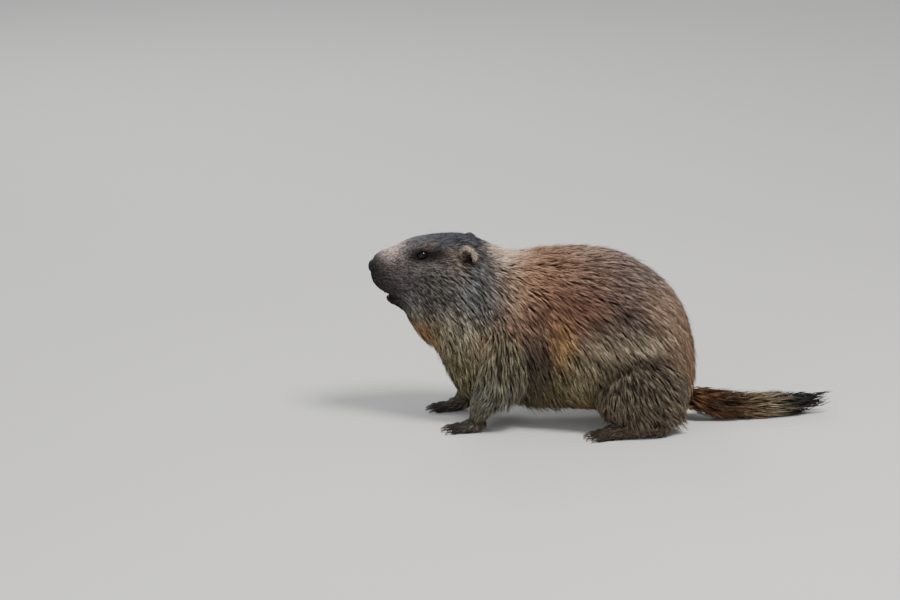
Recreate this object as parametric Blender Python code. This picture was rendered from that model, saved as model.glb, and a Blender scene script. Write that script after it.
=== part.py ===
"""Alpine marmot, life size, crouched on the ground with its head raised and its tail laid out behind it.

Metres, +Z up. The nose points along -X and the animal's left flank faces -Y. The ground is z = 0, and the
origin lies on it under the middle of the whole animal. Every outline is that of the coat, not of the skin.
"""

import math

import bmesh
import bpy
import numpy as np
from mathutils import Matrix, Vector

# Driving sizes
BODY_LENGTH = 0.422
BACK_HEIGHT = 0.232
BODY_WIDTH = 0.182
ORIGIN_FROM_NOSE = 0.2965

# Clearances
GAP = 0.0003
CUT_CLEARANCE = 0.00042

# Reach and width of the round dome past a tube's end, as shares of the radius there
DOME_REACH = 0.55
DOME_WIDTH = 0.45

# Trunk: head, neck and torso are one lofted form. A place is a share of the body's length from nose to rump,
# a height is a share of the back's height, and a half width is a share of half the body's width.
TOP_LINE = (
    (0.000, 0.908), (0.006, 0.930), (0.017, 0.957), (0.037, 0.984), (0.076, 1.011), (0.111, 1.043),
    (0.154, 1.065), (0.230, 1.080), (0.301, 1.074), (0.348, 1.044), (0.389, 1.003), (0.438, 0.983),
    (0.509, 0.991), (0.585, 1.002), (0.687, 0.994), (0.745, 0.981), (0.803, 0.942), (0.863, 0.869),
    (0.922, 0.775), (0.951, 0.697), (0.981, 0.575), (0.993, 0.466), (1.000, 0.390),
)
BOTTOM_LINE = (
    (0.000, 0.880), (0.005, 0.849), (0.014, 0.810), (0.028, 0.780), (0.043, 0.746), (0.050, 0.716),
    (0.064, 0.690), (0.095, 0.661), (0.114, 0.634), (0.130, 0.586), (0.152, 0.545), (0.173, 0.503),
    (0.197, 0.483), (0.216, 0.440), (0.235, 0.360), (0.256, 0.276), (0.275, 0.216), (0.313, 0.164),
    (0.372, 0.129), (0.467, 0.108), (0.585, 0.095), (0.704, 0.086), (0.822, 0.078), (0.917, 0.069),
    (0.964, 0.086), (0.988, 0.147), (1.000, 0.240),
)
HALF_WIDTH = (
    (0.000, 0.080), (0.004, 0.118), (0.012, 0.166), (0.026, 0.208), (0.045, 0.238), (0.069, 0.272),
    (0.100, 0.318), (0.130, 0.370), (0.159, 0.424), (0.194, 0.484), (0.230, 0.540), (0.265, 0.582),
    (0.306, 0.608), (0.348, 0.626), (0.396, 0.662), (0.455, 0.725), (0.526, 0.813), (0.609, 0.901),
    (0.704, 0.967), (0.787, 0.989), (0.858, 0.950), (0.917, 0.835), (0.960, 0.637), (0.983, 0.462),
    (0.995, 0.286), (1.000, 0.140),
)
WIDEST_AT = (
    (0.000, 0.892), (0.028, 0.875), (0.064, 0.853), (0.111, 0.836), (0.168, 0.819), (0.230, 0.800),
    (0.301, 0.770), (0.348, 0.716), (0.396, 0.640), (0.455, 0.552), (0.526, 0.483), (0.609, 0.440),
    (0.704, 0.414), (0.787, 0.388), (0.858, 0.362), (0.917, 0.336), (1.000, 0.315),
)
BLUNTNESS_ABOVE = ((0.0, 2.2), (0.10, 2.5), (0.30, 2.5), (0.42, 2.2), (1.0, 2.1))
BLUNTNESS_BELOW = ((0.0, 2.2), (0.10, 2.3), (0.30, 2.1), (0.42, 2.2), (1.0, 2.3))
TRUNK_SIDES = 26
TRUNK_STATIONS = np.concatenate((
    (0.0, 0.004, 0.009, 0.016, 0.025),
    np.arange(0.036, 0.300, 0.0145),
    np.arange(0.305, 0.900, 0.035),
    (0.905, 0.928, 0.948, 0.966, 0.981, 0.992, 1.0),
))

# Swellings and hollows of the trunk's coat: centre (x, distance from the midline, z), reach and height.
SWELLINGS = {
    "brow": ((-0.2270, 0.0330, 0.2415), 0.0110, 0.0026),
    "eye hollow": ((-0.2280, 0.0340, 0.2290), 0.0095, -0.0022),
    "whisker pad": ((-0.2810, 0.0180, 0.1930), 0.0110, 0.0026),
    "muzzle side": ((-0.2560, 0.0270, 0.2110), 0.0130, -0.0012),
    "cheek": ((-0.1980, 0.0500, 0.1700), 0.0300, 0.0050),
    "throat fold": ((-0.2180, 0.0000, 0.1140), 0.0160, 0.0050),
    "nape hollow": ((-0.1280, 0.0000, 0.2340), 0.0200, -0.0020),
    "neck side": ((-0.1560, 0.0560, 0.1650), 0.0260, -0.0040),
    "shoulder": ((-0.1120, 0.0660, 0.1150), 0.0380, 0.0060),
    "flank hollow": ((-0.0500, 0.0820, 0.0700), 0.0300, -0.0050),
}

# Slanted cuts that part the trunk: a point on the top line and one on the bottom line, as (x, z).
HEAD_CUT = ((-0.1430, 0.2480), (-0.2220, 0.1120))
NECK_CUT = ((-0.1040, 0.2320), (-0.1960, 0.0520))

# Head details
EYE_CENTRE = Vector((-0.2262, 0.0272, 0.2300))
EYE_RADIUS = 0.0072
LID_RADIUS = 0.0090
EYE_SLIT = (0.0068, 0.0044)
EYE_TILT = math.radians(20)
NOSTRIL = Vector((-0.2935, 0.0058, 0.2025))
NOSTRIL_RADII = (0.0046, 0.0017, 0.0028)
NOSTRIL_TURN = math.radians(25)
NOSE_PAD = Vector((-0.2915, 0.0, 0.2085))
NOSE_PAD_RADII = (0.0062, 0.0105, 0.0078)
MOUTH_CORNER = (-0.2490, 0.1712)
MOUTH_UPPER_LIP = (-0.3000, 0.1800)
MOUTH_LOWER_LIP = (-0.3000, 0.1612)
EAR_CENTRE = Vector((-0.1660, 0.0445, 0.2345))
RIGHT_EAR_SHIFT = Vector((0.0010, 0.0042, -0.0050))
EAR_RADII = (0.0108, 0.0052, 0.0112)
EAR_CUP_RADII = (0.0080, 0.0050, 0.0082)
EAR_CUP_SHIFT = Vector((-0.0008, 0.0042, 0.0006))
EAR_TURN = math.radians(24)
EAR_LEAN = math.radians(-16)

# Incisors: root and tip on the midline plane, half spacing, and radii across and along the jaw.
INCISORS = {
    "upper": ((-0.2738, 0.1850), (-0.2755, 0.1725), 0.0021),
    "lower": ((-0.2680, 0.1625), (-0.2710, 0.1702), 0.0019),
}
INCISOR_RADII = (0.00175, 0.0015)
INCISOR_TAPER = (0.85, 1.0, 0.75)
INCISOR_BOW = 0.0006

# Limbs: each point is (x, distance from the midline, z) with the coat's radii across and along the limb.
FORE_LIMB = (
    ((-0.1220, 0.0450, 0.1400), (0.0180, 0.0220)),
    ((-0.1170, 0.0520, 0.1160), (0.0225, 0.0285)),
    ((-0.1200, 0.0590, 0.0860), (0.0230, 0.0290)),
    ((-0.1330, 0.0590, 0.0600), (0.0195, 0.0240)),
    ((-0.1470, 0.0565, 0.0385), (0.0145, 0.0175)),
    ((-0.1545, 0.0535, 0.0210), (0.0105, 0.0115)),
    ((-0.1560, 0.0525, 0.0150), (0.0088, 0.0085)),
)
RIGHT_FORE_REACH = -0.0200
RIGHT_FORE_INWARD = -0.0060
FORE_WRIST = Vector((-0.1560, 0.0525, 0.0))
FORE_PALM = (
    ((0.0060, 0.0, 0.0125), (0.0090, 0.0085)),
    ((-0.0040, 0.0, 0.0092), (0.0110, 0.0092)),
    ((-0.0130, 0.0, 0.0064), (0.0122, 0.0074)),
    ((-0.0190, 0.0, 0.0046), (0.0104, 0.0052)),
)
FORE_TOES = {
    "inner": (-0.0078, -19, 0.0190),
    "second": (-0.0028, -6, 0.0225),
    "third": (0.0026, 6, 0.0220),
    "outer": (0.0078, 20, 0.0180),
}
HIND_SHANK = (
    ((0.1000, 0.0600, 0.0640), (0.0230, 0.0360)),
    ((0.0760, 0.0690, 0.0590), (0.0290, 0.0470)),
    ((0.0460, 0.0740, 0.0560), (0.0290, 0.0480)),
    ((0.0200, 0.0740, 0.0480), (0.0230, 0.0390)),
    ((0.0070, 0.0730, 0.0430), (0.0140, 0.0240)),
)
HIND_HEEL = Vector((0.0800, 0.0760, 0.0))
HIND_SOLE = (
    ((0.0060, 0.0, 0.0120), (0.0090, 0.0110)),
    ((-0.0120, 0.0, 0.0120), (0.0125, 0.0130)),
    ((-0.0420, 0.0, 0.0095), (0.0130, 0.0105)),
    ((-0.0640, 0.0, 0.0080), (0.0150, 0.0085)),
    ((-0.0730, 0.0, 0.0062), (0.0130, 0.0058)),
)
HIND_TOES = {
    "first": (-0.0102, -22, 0.0150),
    "second": (-0.0056, -10, 0.0195),
    "third": (-0.0004, 0, 0.0205),
    "fourth": (0.0050, 10, 0.0195),
    "fifth": (0.0100, 23, 0.0150),
}
HIND_FOOT_SPLAY = math.radians(7)
TOE_RADIUS = 0.0043
TOE_KNUCKLE_RISE = 0.0022
TOE_SIDES = 6
TOE_SUNK = 0.0040
TOE_ROOT = 0.0060
TOE_HEIGHT = 0.74
TOE_KNUCKLE_AT = 0.45
TOE_TAPER = (1.0, 0.95, 0.84)
CLAW_LENGTH = 0.0105
CLAW_RADIUS = 0.0017
CLAW_SUNK = 0.0032
CLAW_RISE = 0.0006
CLAW_TIP_HEIGHT = 0.0010
CLAW_TAPER = (1.0, 0.9, 0.22)
LEG_CLEARANCE = 0.003

# Tail: outline of the brush along its middle line, from inside the rump to the black tip.
TAIL_LINE = (
    ((0.0980, 0.0000, 0.0400), (0.0120, 0.0120)),
    ((0.1180, 0.0010, 0.0340), (0.0150, 0.0145)),
    ((0.1400, 0.0040, 0.0260), (0.0175, 0.0178)),
    ((0.1700, 0.0095, 0.0172), (0.0182, 0.0182)),
    ((0.2100, 0.0180, 0.0142), (0.0165, 0.0160)),
    ((0.2500, 0.0270, 0.0136), (0.0155, 0.0150)),
    ((0.2780, 0.0335, 0.0165), (0.0120, 0.0120)),
    ((0.2969, 0.0375, 0.0190), (0.0030, 0.0030)),
)

# Locks of the coat. A node that has them is a core, sunk under its outline by up to half of the coat's depth,
# and locks that reach from inside the core to the outline. Behind the head the core sinks over NECK_EASE.
CORE_SUNK = 0.0058
LEAST_SUNK = 0.0008
NECK_EASE = 0.0300
RUMP_EASE = (0.94, 1.00)
BELLY = (-0.92, -0.62)
BELLY_START = 0.42
SEATS = (
    ((-0.1200, 0.0560, 0.1280), 0.0300),
    ((-0.1120, 0.0620, 0.0950), 0.0330),
    ((-0.1120, 0.0600, 0.0640), 0.0300),
    ((0.0120, 0.0780, 0.0450), 0.0360),
    ((0.0480, 0.0830, 0.0520), 0.0480),
    ((0.0860, 0.0720, 0.0580), 0.0440),
    ((0.1200, 0.0000, 0.0350), 0.0300),
)
TAIL_CORE = 0.66
LOCK_PLACES = (0.0, 0.34, 0.70)
LOCK_WIDTHS = (0.60, 1.0, 0.72)
LOCK_LEVELS = (-1.8, -0.34, -0.02)
LOCK_ROOT_THICKNESS = 0.0060
LOCK_TIP_THICKNESS = 0.0025
LOCK_INSIDE = 0.0009
LOCK_BEND = 0.35
LOCK_LENGTHS = (0.85, 1.15)
LOCK_END = 0.995
LOCK_SEED = 11
LOCK_GRID = (240, 96)
TAIL_GRID = (80, 48)
TRUNK_LOCKS = {"length": 0.070, "half_width": 0.0135, "rows": 11, "each": 6, "last": 0.935}
TRUNK_LOCKS_FROM = (0.292, 0.092)
TRUNK_LOCKS_REACH = (0.49, 0.385)
TRUNK_LOCKS_REACH_OVER = (0.1, 0.3)
TRUNK_LOCKS_STRAY = (0.008, 0.006)
TAIL_LOCKS = {"length": 0.056, "half_width": 0.0105, "rows": 8, "each": 5, "first": 0.02, "last": 0.80}
TAIL_LOCKS_STRAY = (0.015, 0.1)

# Lie of the trunk's coat in degrees below level on the spine, the belly and the chest. It turns down the flank
# by the sine of the place round the body, and towards the chest by the share of the length and the same sine.
LIE_SPINE = 14
LIE_BELLY = 62
LIE_CHEST = 80
LIE_DOWN_FLANK = (-0.97, 0.6)
LIE_TOWARDS_CHEST = (-0.56, -0.36)
LIE_BELOW_NECK = (-0.75, 0.1)

# Finishes: colour, roughness and metallic value.
FINISHES = {
    "head_coat": ((0.085, 0.075, 0.066), 0.85, 0.0),
    "body_coat": ((0.250, 0.155, 0.090), 0.85, 0.0),
    "leg_coat": ((0.150, 0.110, 0.075), 0.85, 0.0),
    "tail_coat": ((0.130, 0.065, 0.035), 0.85, 0.0),
    "ear_coat": ((0.200, 0.150, 0.100), 0.80, 0.0),
    "eye": ((0.010, 0.008, 0.007), 0.08, 0.0),
    "tooth": ((0.620, 0.260, 0.060), 0.30, 0.0),
    "claw": ((0.030, 0.024, 0.020), 0.40, 0.0),
}


def clear_scene():
    for obj in list(bpy.data.objects):
        bpy.data.objects.remove(obj, do_unlink=True)


def collection_named(name):
    collection = bpy.data.collections.new(name)
    bpy.context.scene.collection.children.link(collection)
    return collection


def finish(name):
    """The Principled material of one finish, made once."""
    material = bpy.data.materials.get(name)
    if material is None:
        colour, roughness, metallic = FINISHES[name]
        material = bpy.data.materials.new(name)
        material.use_nodes = True
        shader = material.node_tree.nodes["Principled BSDF"]
        shader.inputs["Base Color"].default_value = (*colour, 1.0)
        shader.inputs["Roughness"].default_value = roughness
        shader.inputs["Metallic"].default_value = metallic
    return material


def curve_through(points, places):
    """Values of the smooth curve through (place, value) points that never overshoots them: monotone cubic."""
    known, values = np.array(points, float).T
    step = np.diff(known)
    slope = np.diff(values) / step
    before, after = slope[:-1], slope[1:]
    total = np.where(before + after == 0.0, 1.0, before + after)
    inner = np.where(before * after > 0.0, 2.0 * before * after / total, 0.0)
    tangent = np.concatenate(((slope[0],), inner, (slope[-1],)))
    places = np.clip(places, known[0], known[-1])
    i = np.clip(np.searchsorted(known, places, side="right") - 1, 0, len(step) - 1)
    t = (places - known[i]) / step[i]
    return (
        (2 * t**3 - 3 * t**2 + 1) * values[i]
        + (t**3 - 2 * t**2 + t) * step[i] * tangent[i]
        + (3 * t**2 - 2 * t**3) * values[i + 1]
        + (t**3 - t**2) * step[i] * tangent[i + 1]
    )


def signed_power(value, power):
    return np.sign(value) * np.abs(value) ** power


def trunk_grid(stations, angles, sunk=False):
    """Points of the trunk's coat, one ring for each station, or of the core that carries its locks.

    A ring is two half superellipses that share their width, one above the widest height and one below it.
    """
    share = np.asarray(stations, float)[:, None]
    angle = np.asarray(angles, float)[None, :]
    top = curve_through(TOP_LINE, share) * BACK_HEIGHT
    bottom = curve_through(BOTTOM_LINE, share) * BACK_HEIGHT
    middle = curve_through(WIDEST_AT, share) * BACK_HEIGHT
    half = curve_through(HALF_WIDTH, share) * BODY_WIDTH / 2
    above = np.sin(angle) >= 0
    bluntness = np.where(above, curve_through(BLUNTNESS_ABOVE, share), curve_through(BLUNTNESS_BELOW, share))
    reach = np.where(above, top - middle, middle - bottom)
    y = half * signed_power(np.cos(angle), 2 / bluntness)
    z = middle + reach * signed_power(np.sin(angle), 2 / bluntness)
    x = np.broadcast_to(share * BODY_LENGTH - ORIGIN_FROM_NOSE, y.shape)
    grid = swollen(np.stack((x, y, z), axis=-1))
    return grid - normals(grid) * core_depth(grid, share, angle)[..., None] if sunk else grid


def ease(value, start, end):
    """0 up to the start, 1 from the end on, and smooth between them."""
    t = np.clip((value - start) / (end - start), 0.0, 1.0)
    return t * t * (3 - 2 * t)


def core_depth(grid, share, angle):
    """How far the trunk's core lies under its outline: nothing at the head's cut, belly and limbs' seats."""
    point, normal = cut_plane(HEAD_CUT, 1)
    behind = -(grid - np.array(point)) @ np.array(normal)
    depth = CORE_SUNK * ease(behind, 0.0, NECK_EASE) * (1.0 - 0.4 * ease(share, *RUMP_EASE))
    depth = depth * np.where(share > BELLY_START, ease(np.sin(angle), *BELLY), 1.0)
    for centre, reach in SEATS:
        depth = depth * (1.0 - np.exp(-((from_both_sides(grid, centre) / reach) ** 4)))
    return depth


def normals(grid):
    """Outward unit normals of a grid of closed rings."""
    along = np.gradient(grid, axis=0)
    round_ring = np.roll(grid, -1, axis=1) - np.roll(grid, 1, axis=1)
    normal = np.cross(round_ring, along)
    outward = np.sign(np.sum(normal * (grid - grid.mean(axis=1, keepdims=True))))
    return normal * outward / (np.linalg.norm(normal, axis=-1, keepdims=True) + 1e-12)


def from_both_sides(grid, centre):
    """Distance of each point to a place on the nearer flank, given by its distance from the midline."""
    folded = np.stack((grid[..., 0], np.abs(grid[..., 1]), grid[..., 2]), axis=-1)
    return np.linalg.norm(folded - np.array(centre), axis=-1)


def swollen(grid):
    """The grid with each swelling's bell-shaped bump added along the surface's normal, on both flanks."""
    height = np.zeros(grid.shape[:-1])
    for centre, reach, rise in SWELLINGS.values():
        height += rise * np.exp(-((from_both_sides(grid, centre) / reach) ** 2))
    return grid + normals(grid) * height[..., None]


def add_object(name, mesh, collection):
    obj = bpy.data.objects.new(name, mesh)
    collection.objects.link(obj)
    return obj


def loft(name, rings, collection):
    """A closed object through rings of as many points each, with a fan from the middle of each end ring."""
    rings = np.asarray(rings)
    count = rings.shape[1]
    shape = bmesh.new()
    loops = [[shape.verts.new(point) for point in ring] for ring in rings]
    for near, far in zip(loops[:-1], loops[1:]):
        for k in range(count):
            m = (k + 1) % count
            shape.faces.new((near[k], near[m], far[m], far[k]))
    for loop, ring in ((loops[0], rings[0]), (loops[-1], rings[-1])):
        hub = shape.verts.new(ring.mean(axis=0))
        for k in range(count):
            shape.faces.new((loop[k], loop[(k + 1) % count], hub))
    bmesh.ops.recalc_face_normals(shape, faces=shape.faces)
    if shape.calc_volume(signed=True) < 0:
        bmesh.ops.reverse_faces(shape, faces=shape.faces)
    bmesh.ops.triangulate(shape, faces=shape.faces)
    mesh = bpy.data.meshes.new(name)
    shape.to_mesh(mesh)
    shape.free()
    return add_object(name, mesh, collection)


def tube_rings(points, sides, rings):
    """Rings of an elliptical tube whose middle line and radii run smoothly through the given points."""
    centres = np.array([centre for centre, _ in points], float)
    radii = np.array([radius for _, radius in points], float)
    chord = np.concatenate(((0.0,), np.cumsum(np.linalg.norm(np.diff(centres, axis=0), axis=1))))
    places = np.linspace(0.0, chord[-1], rings)
    middle = np.stack([curve_through(np.column_stack((chord, centres[:, k])), places) for k in range(3)], -1)
    width = np.stack([curve_through(np.column_stack((chord, radii[:, k])), places) for k in range(2)], -1)
    forward = np.gradient(middle, axis=0)
    forward /= np.linalg.norm(forward, axis=1, keepdims=True)
    sideways = np.array((0.0, 1.0, 0.0))
    across = sideways - forward * (forward @ sideways)[:, None]
    across /= np.linalg.norm(across, axis=1, keepdims=True)
    upward = np.cross(across, forward)
    angle = np.arange(sides) * 2 * math.pi / sides
    return (
        middle[:, None]
        + across[:, None] * (np.cos(angle)[None, :, None] * width[:, None, :1])
        + upward[:, None] * (np.sin(angle)[None, :, None] * width[:, None, 1:])
    )


def domed(points):
    """The points with a smaller one added past each end, so that a tube through them ends in a round dome."""
    def past(end, inner):
        (centre, radius), (other, _) = end, inner
        away = (np.array(centre) - np.array(other)) / np.linalg.norm(np.array(centre) - np.array(other))
        place = np.array(centre) + away * min(radius) * DOME_REACH
        return (tuple(place), (radius[0] * DOME_WIDTH, radius[1] * DOME_WIDTH))
    return (past(points[0], points[1]), *points, past(points[-1], points[-2]))


def on_side(points, side):
    """Points given for a distance from the midline, put on the left (side -1) or right (side 1)."""
    return tuple(((x, side * y, z), radius) for (x, y, z), radius in points)


def ellipsoid(name, centre, radii, collection, turn=None, subdivisions=3):
    shape = bmesh.new()
    bmesh.ops.create_icosphere(shape, subdivisions=subdivisions, radius=1.0)
    place = Matrix.Translation(centre) @ (turn or Matrix.Identity(4)) @ Matrix.Diagonal((*radii, 1.0))
    bmesh.ops.transform(shape, matrix=place, verts=shape.verts)
    mesh = bpy.data.meshes.new(name)
    shape.to_mesh(mesh)
    shape.free()
    return add_object(name, mesh, collection)


def prism(name, outline, low, high, collection, place=None):
    """A flat (x, z) outline drawn out along Y from low to high."""
    shape = bmesh.new()
    near = shape.faces.new([shape.verts.new((x, low, z)) for x, z in outline])
    drawn = bmesh.ops.extrude_face_region(shape, geom=[near])
    moved = [item for item in drawn["geom"] if isinstance(item, bmesh.types.BMVert)]
    bmesh.ops.translate(shape, vec=(0.0, high - low, 0.0), verts=moved)
    bmesh.ops.recalc_face_normals(shape, faces=shape.faces)
    if place is not None:
        bmesh.ops.transform(shape, matrix=place, verts=shape.verts)
    mesh = bpy.data.meshes.new(name)
    shape.to_mesh(mesh)
    shape.free()
    return add_object(name, mesh, collection)


def bake(obj):
    """Replaces an object's mesh with the one its modifiers make."""
    bpy.context.view_layer.update()
    graph = bpy.context.evaluated_depsgraph_get()
    mesh = bpy.data.meshes.new_from_object(obj.evaluated_get(graph))
    obj.modifiers.clear()
    obj.data = mesh


def combine(obj, others, operation, solver="EXACT"):
    """Joins the other objects to this one, or cuts them from it, one after the other, and removes them.

    The limbs' long cuts along the trunk use the MANIFOLD solver, because the EXACT one loses one of them.
    """
    for other in others:
        modifier = obj.modifiers.new(operation.lower(), "BOOLEAN")
        modifier.operation = operation
        modifier.solver = solver
        modifier.object = other
        bake(obj)
        bpy.data.objects.remove(other, do_unlink=True)


def grown(obj, collection, by=CUT_CLEARANCE):
    """A copy whose surface stands out by the clearance, to cut room for the object from its neighbours."""
    copy = add_object(obj.name + "_room", obj.data.copy(), collection)
    modifier = copy.modifiers.new("clearance", "DISPLACE")
    modifier.strength = by
    modifier.mid_level = 0.0
    bake(copy)
    return copy


def keep_side(obj, point, normal):
    """Cuts an object by a plane and keeps the closed side that the normal points away from."""
    shape = bmesh.new()
    shape.from_mesh(obj.data)
    geometry = list(shape.verts) + list(shape.edges) + list(shape.faces)
    bmesh.ops.bisect_plane(
        shape, geom=geometry, dist=1e-7, plane_co=point, plane_no=normal, clear_outer=True
    )
    rim = [edge for edge in shape.edges if edge.is_boundary]
    bmesh.ops.contextual_create(shape, geom=rim)
    bmesh.ops.triangulate(shape, faces=[face for face in shape.faces if len(face.verts) > 4])
    shape.to_mesh(obj.data)
    shape.free()


def keep_largest(obj):
    """Drops all but the largest of the closed surfaces in an object's mesh."""
    shape = bmesh.new()
    shape.from_mesh(obj.data)
    left = set(shape.faces)
    islands = []
    while left:
        seed = left.pop()
        island, edge = {seed}, [seed]
        while edge:
            face = edge.pop()
            for side in face.edges:
                for other in side.link_faces:
                    if other in left:
                        left.discard(other)
                        island.add(other)
                        edge.append(other)
        islands.append(island)
    islands.sort(key=lambda faces: sum(face.calc_area() for face in faces))
    for island in islands[:-1]:
        bmesh.ops.delete(shape, geom=list(island), context="FACES")
    shape.to_mesh(obj.data)
    shape.free()


def finished(obj, name, material):
    """Names a node, shades it smooth away from its sharp edges and gives it its finish."""
    obj.name = name
    obj.data.name = name
    obj.data.materials.clear()
    obj.data.materials.append(finish(material))
    obj.data.shade_smooth()
    obj.data.set_sharp_from_angle(angle=math.radians(50))
    return obj


def cut_plane(cut, side):
    """A point and normal for a slanted cut: side -1 keeps what lies towards the nose, 1 towards the rump."""
    (top_x, top_z), (low_x, low_z) = cut
    normal = Vector((top_z - low_z, 0.0, low_x - top_x)).normalized() * -side
    return Vector((top_x, 0.0, top_z)) - normal * GAP / 2, normal


def trunk(name, collection, sunk=False):
    angles = np.arange(TRUNK_SIDES) * 2 * math.pi / TRUNK_SIDES
    return loft(name, trunk_grid(TRUNK_STATIONS, angles, sunk), collection)


def mirrored_pair(point):
    return ((side, Vector((point.x, side * point.y, point.z))) for side in (-1, 1))


def lens_outline(half_length, half_height, steps=7):
    """An eye-slit outline: two arcs of a circle that meet in a point at both ends."""
    radius = (half_length**2 + half_height**2) / (2 * half_height)
    reach = math.asin(half_length / radius)
    angles = [reach - 2 * reach * k / steps for k in range(steps)]
    upper = [(radius * math.sin(a), radius * math.cos(a) - radius + half_height) for a in angles]
    return upper + [(-x, -z) for x, z in upper]


def read_grid(grid, along, turn):
    """A grid's value between its points: along it from 0 to 1, and round it in turns."""
    rings, sides = grid.shape[:2]
    u = min(max(along, 0.0), 1.0) * (rings - 1)
    v = (turn % 1.0) * sides
    i = min(int(u), rings - 2)
    j = int(v) % sides
    a = u - i
    b = v - int(v)
    here, next_side = (grid[i, k] * (1 - a) + grid[i + 1, k] * a for k in (j, (j + 1) % sides))
    return here * (1 - b) + next_side * b


def lock(grids, root, lie, length, half_width, random, tools):
    """A flat tapered lock: low three-sided sections along the coat's lie, from in the core to the outline.

    The grids hold the outline, its outward normals and the depth of the core under it. There's no lock where
    the core isn't sunk.
    """
    outline, outward, depth = grids
    sunk = float(read_grid(depth, *root))
    if sunk < LEAST_SUNK:
        return
    sunk = max(sunk, LOCK_TIP_THICKNESS)
    along, turn = root
    step = 0.004
    back = (read_grid(outline, along + step, turn) - read_grid(outline, along - step, turn)) / (2 * step)
    around = (read_grid(outline, along, turn + step) - read_grid(outline, along, turn - step)) / (2 * step)
    frame = np.column_stack((back, around))

    def in_surface(direction):
        moved = np.linalg.lstsq(frame, direction, rcond=None)[0]
        return moved / np.linalg.norm(frame @ moved)

    run = in_surface(lie)
    side = in_surface(np.cross(read_grid(outward, *root), frame @ run))
    length = min(length, (LOCK_END - along) / max(run[0], 1e-9))
    bend = random.uniform(-LOCK_BEND, LOCK_BEND) * half_width

    def placed(share, offset, level):
        place = np.array(root) + run * share * length + side * (offset + bend * share**2)
        return read_grid(outline, *place) + read_grid(outward, *place) * (level - LOCK_INSIDE)

    rings = []
    for share, width, height in zip(LOCK_PLACES, LOCK_WIDTHS, LOCK_LEVELS):
        thick = LOCK_ROOT_THICKNESS + (LOCK_TIP_THICKNESS - LOCK_ROOT_THICKNESS) * share
        reach = half_width * width
        level = sunk * height
        edge = level - thick
        rings.append((placed(share, -reach, edge), placed(share, 0.0, level), placed(share, reach, edge)))
    pointed(rings, placed(1.0, 0.0, 0.0), tools)


def pointed(rings, end, tools):
    """A closed object through rings of as many points each, flat at its root and pointed at its end."""
    shape = bmesh.new()
    loops = [[shape.verts.new(point) for point in ring] for ring in rings]
    tip = shape.verts.new(end)
    count = len(loops[0])
    shape.faces.new(loops[0])
    for near, far in zip(loops[:-1], loops[1:]):
        for k in range(count):
            m = (k + 1) % count
            shape.faces.new((near[k], near[m], far[m], far[k]))
    for k in range(count):
        shape.faces.new((loops[-1][k], loops[-1][(k + 1) % count], tip))
    bmesh.ops.triangulate(shape, faces=shape.faces)
    bmesh.ops.recalc_face_normals(shape, faces=shape.faces)
    if shape.calc_volume(signed=True) < 0:
        bmesh.ops.reverse_faces(shape, faces=shape.faces)
    mesh = bpy.data.meshes.new("lock")
    shape.to_mesh(mesh)
    shape.free()
    return add_object("lock", mesh, tools)


def join_locks(core, locks):
    """Fuses all the locks of a collection to their core with one Boolean union, and removes them."""
    modifier = core.modifiers.new("locks", "BOOLEAN")
    modifier.operation = "UNION"
    modifier.solver = "MANIFOLD"
    modifier.operand_type = "COLLECTION"
    modifier.collection = locks
    bake(core)
    for obj in list(locks.objects):
        bpy.data.objects.remove(obj, do_unlink=True)
    bpy.data.collections.remove(locks)
    keep_largest(core)


def trunk_lie(along, height):
    """Direction of the trunk's coat: nearly level on the spine, steeper on the flank, down on the chest."""
    flank = LIE_SPINE + (LIE_BELLY - LIE_SPINE) * float(ease(-height, *LIE_DOWN_FLANK))
    chest = float(ease(-along, *LIE_TOWARDS_CHEST)) * float(ease(-height, *LIE_BELOW_NECK))
    slope = math.radians(flank + (LIE_CHEST - flank) * chest)
    return np.array((math.cos(slope), 0.0, -math.sin(slope)))


def grow_trunk_locks(core):
    """Staggered rows of locks over the neck and torso, from the spine down both flanks to chest and belly."""
    locks = collection_named("trunk_locks")
    random = np.random.default_rng(LOCK_SEED)
    share = np.linspace(0.0, 1.0, LOCK_GRID[0])
    angle = np.arange(LOCK_GRID[1]) * 2 * math.pi / LOCK_GRID[1]
    outline = trunk_grid(share, angle)
    grids = (outline, normals(outline), core_depth(outline, share[:, None], angle[None, :]))
    rule = TRUNK_LOCKS
    for row in range(rule["rows"]):
        back = row / (rule["rows"] - 1)
        front_reach, rear_reach = TRUNK_LOCKS_REACH
        reach = front_reach + (rear_reach - front_reach) * float(ease(back, *TRUNK_LOCKS_REACH_OVER))
        for k in range(rule["each"]):
            for flank in (-1, 1):
                turn = 0.25 + flank * reach * (k + 0.25 + 0.5 * (row % 2)) / rule["each"]
                height = math.sin(2 * math.pi * turn)
                first = TRUNK_LOCKS_FROM[0] + TRUNK_LOCKS_FROM[1] * height
                stray_along, stray_round = TRUNK_LOCKS_STRAY
                along = first + (rule["last"] - first) * back + random.uniform(-stray_along, stray_along)
                root = (along, turn + random.uniform(-stray_round, stray_round))
                length = rule["length"] * random.uniform(*LOCK_LENGTHS)
                lock(grids, root, trunk_lie(along, height), length, rule["half_width"], random, locks)
    join_locks(core, locks)


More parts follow.
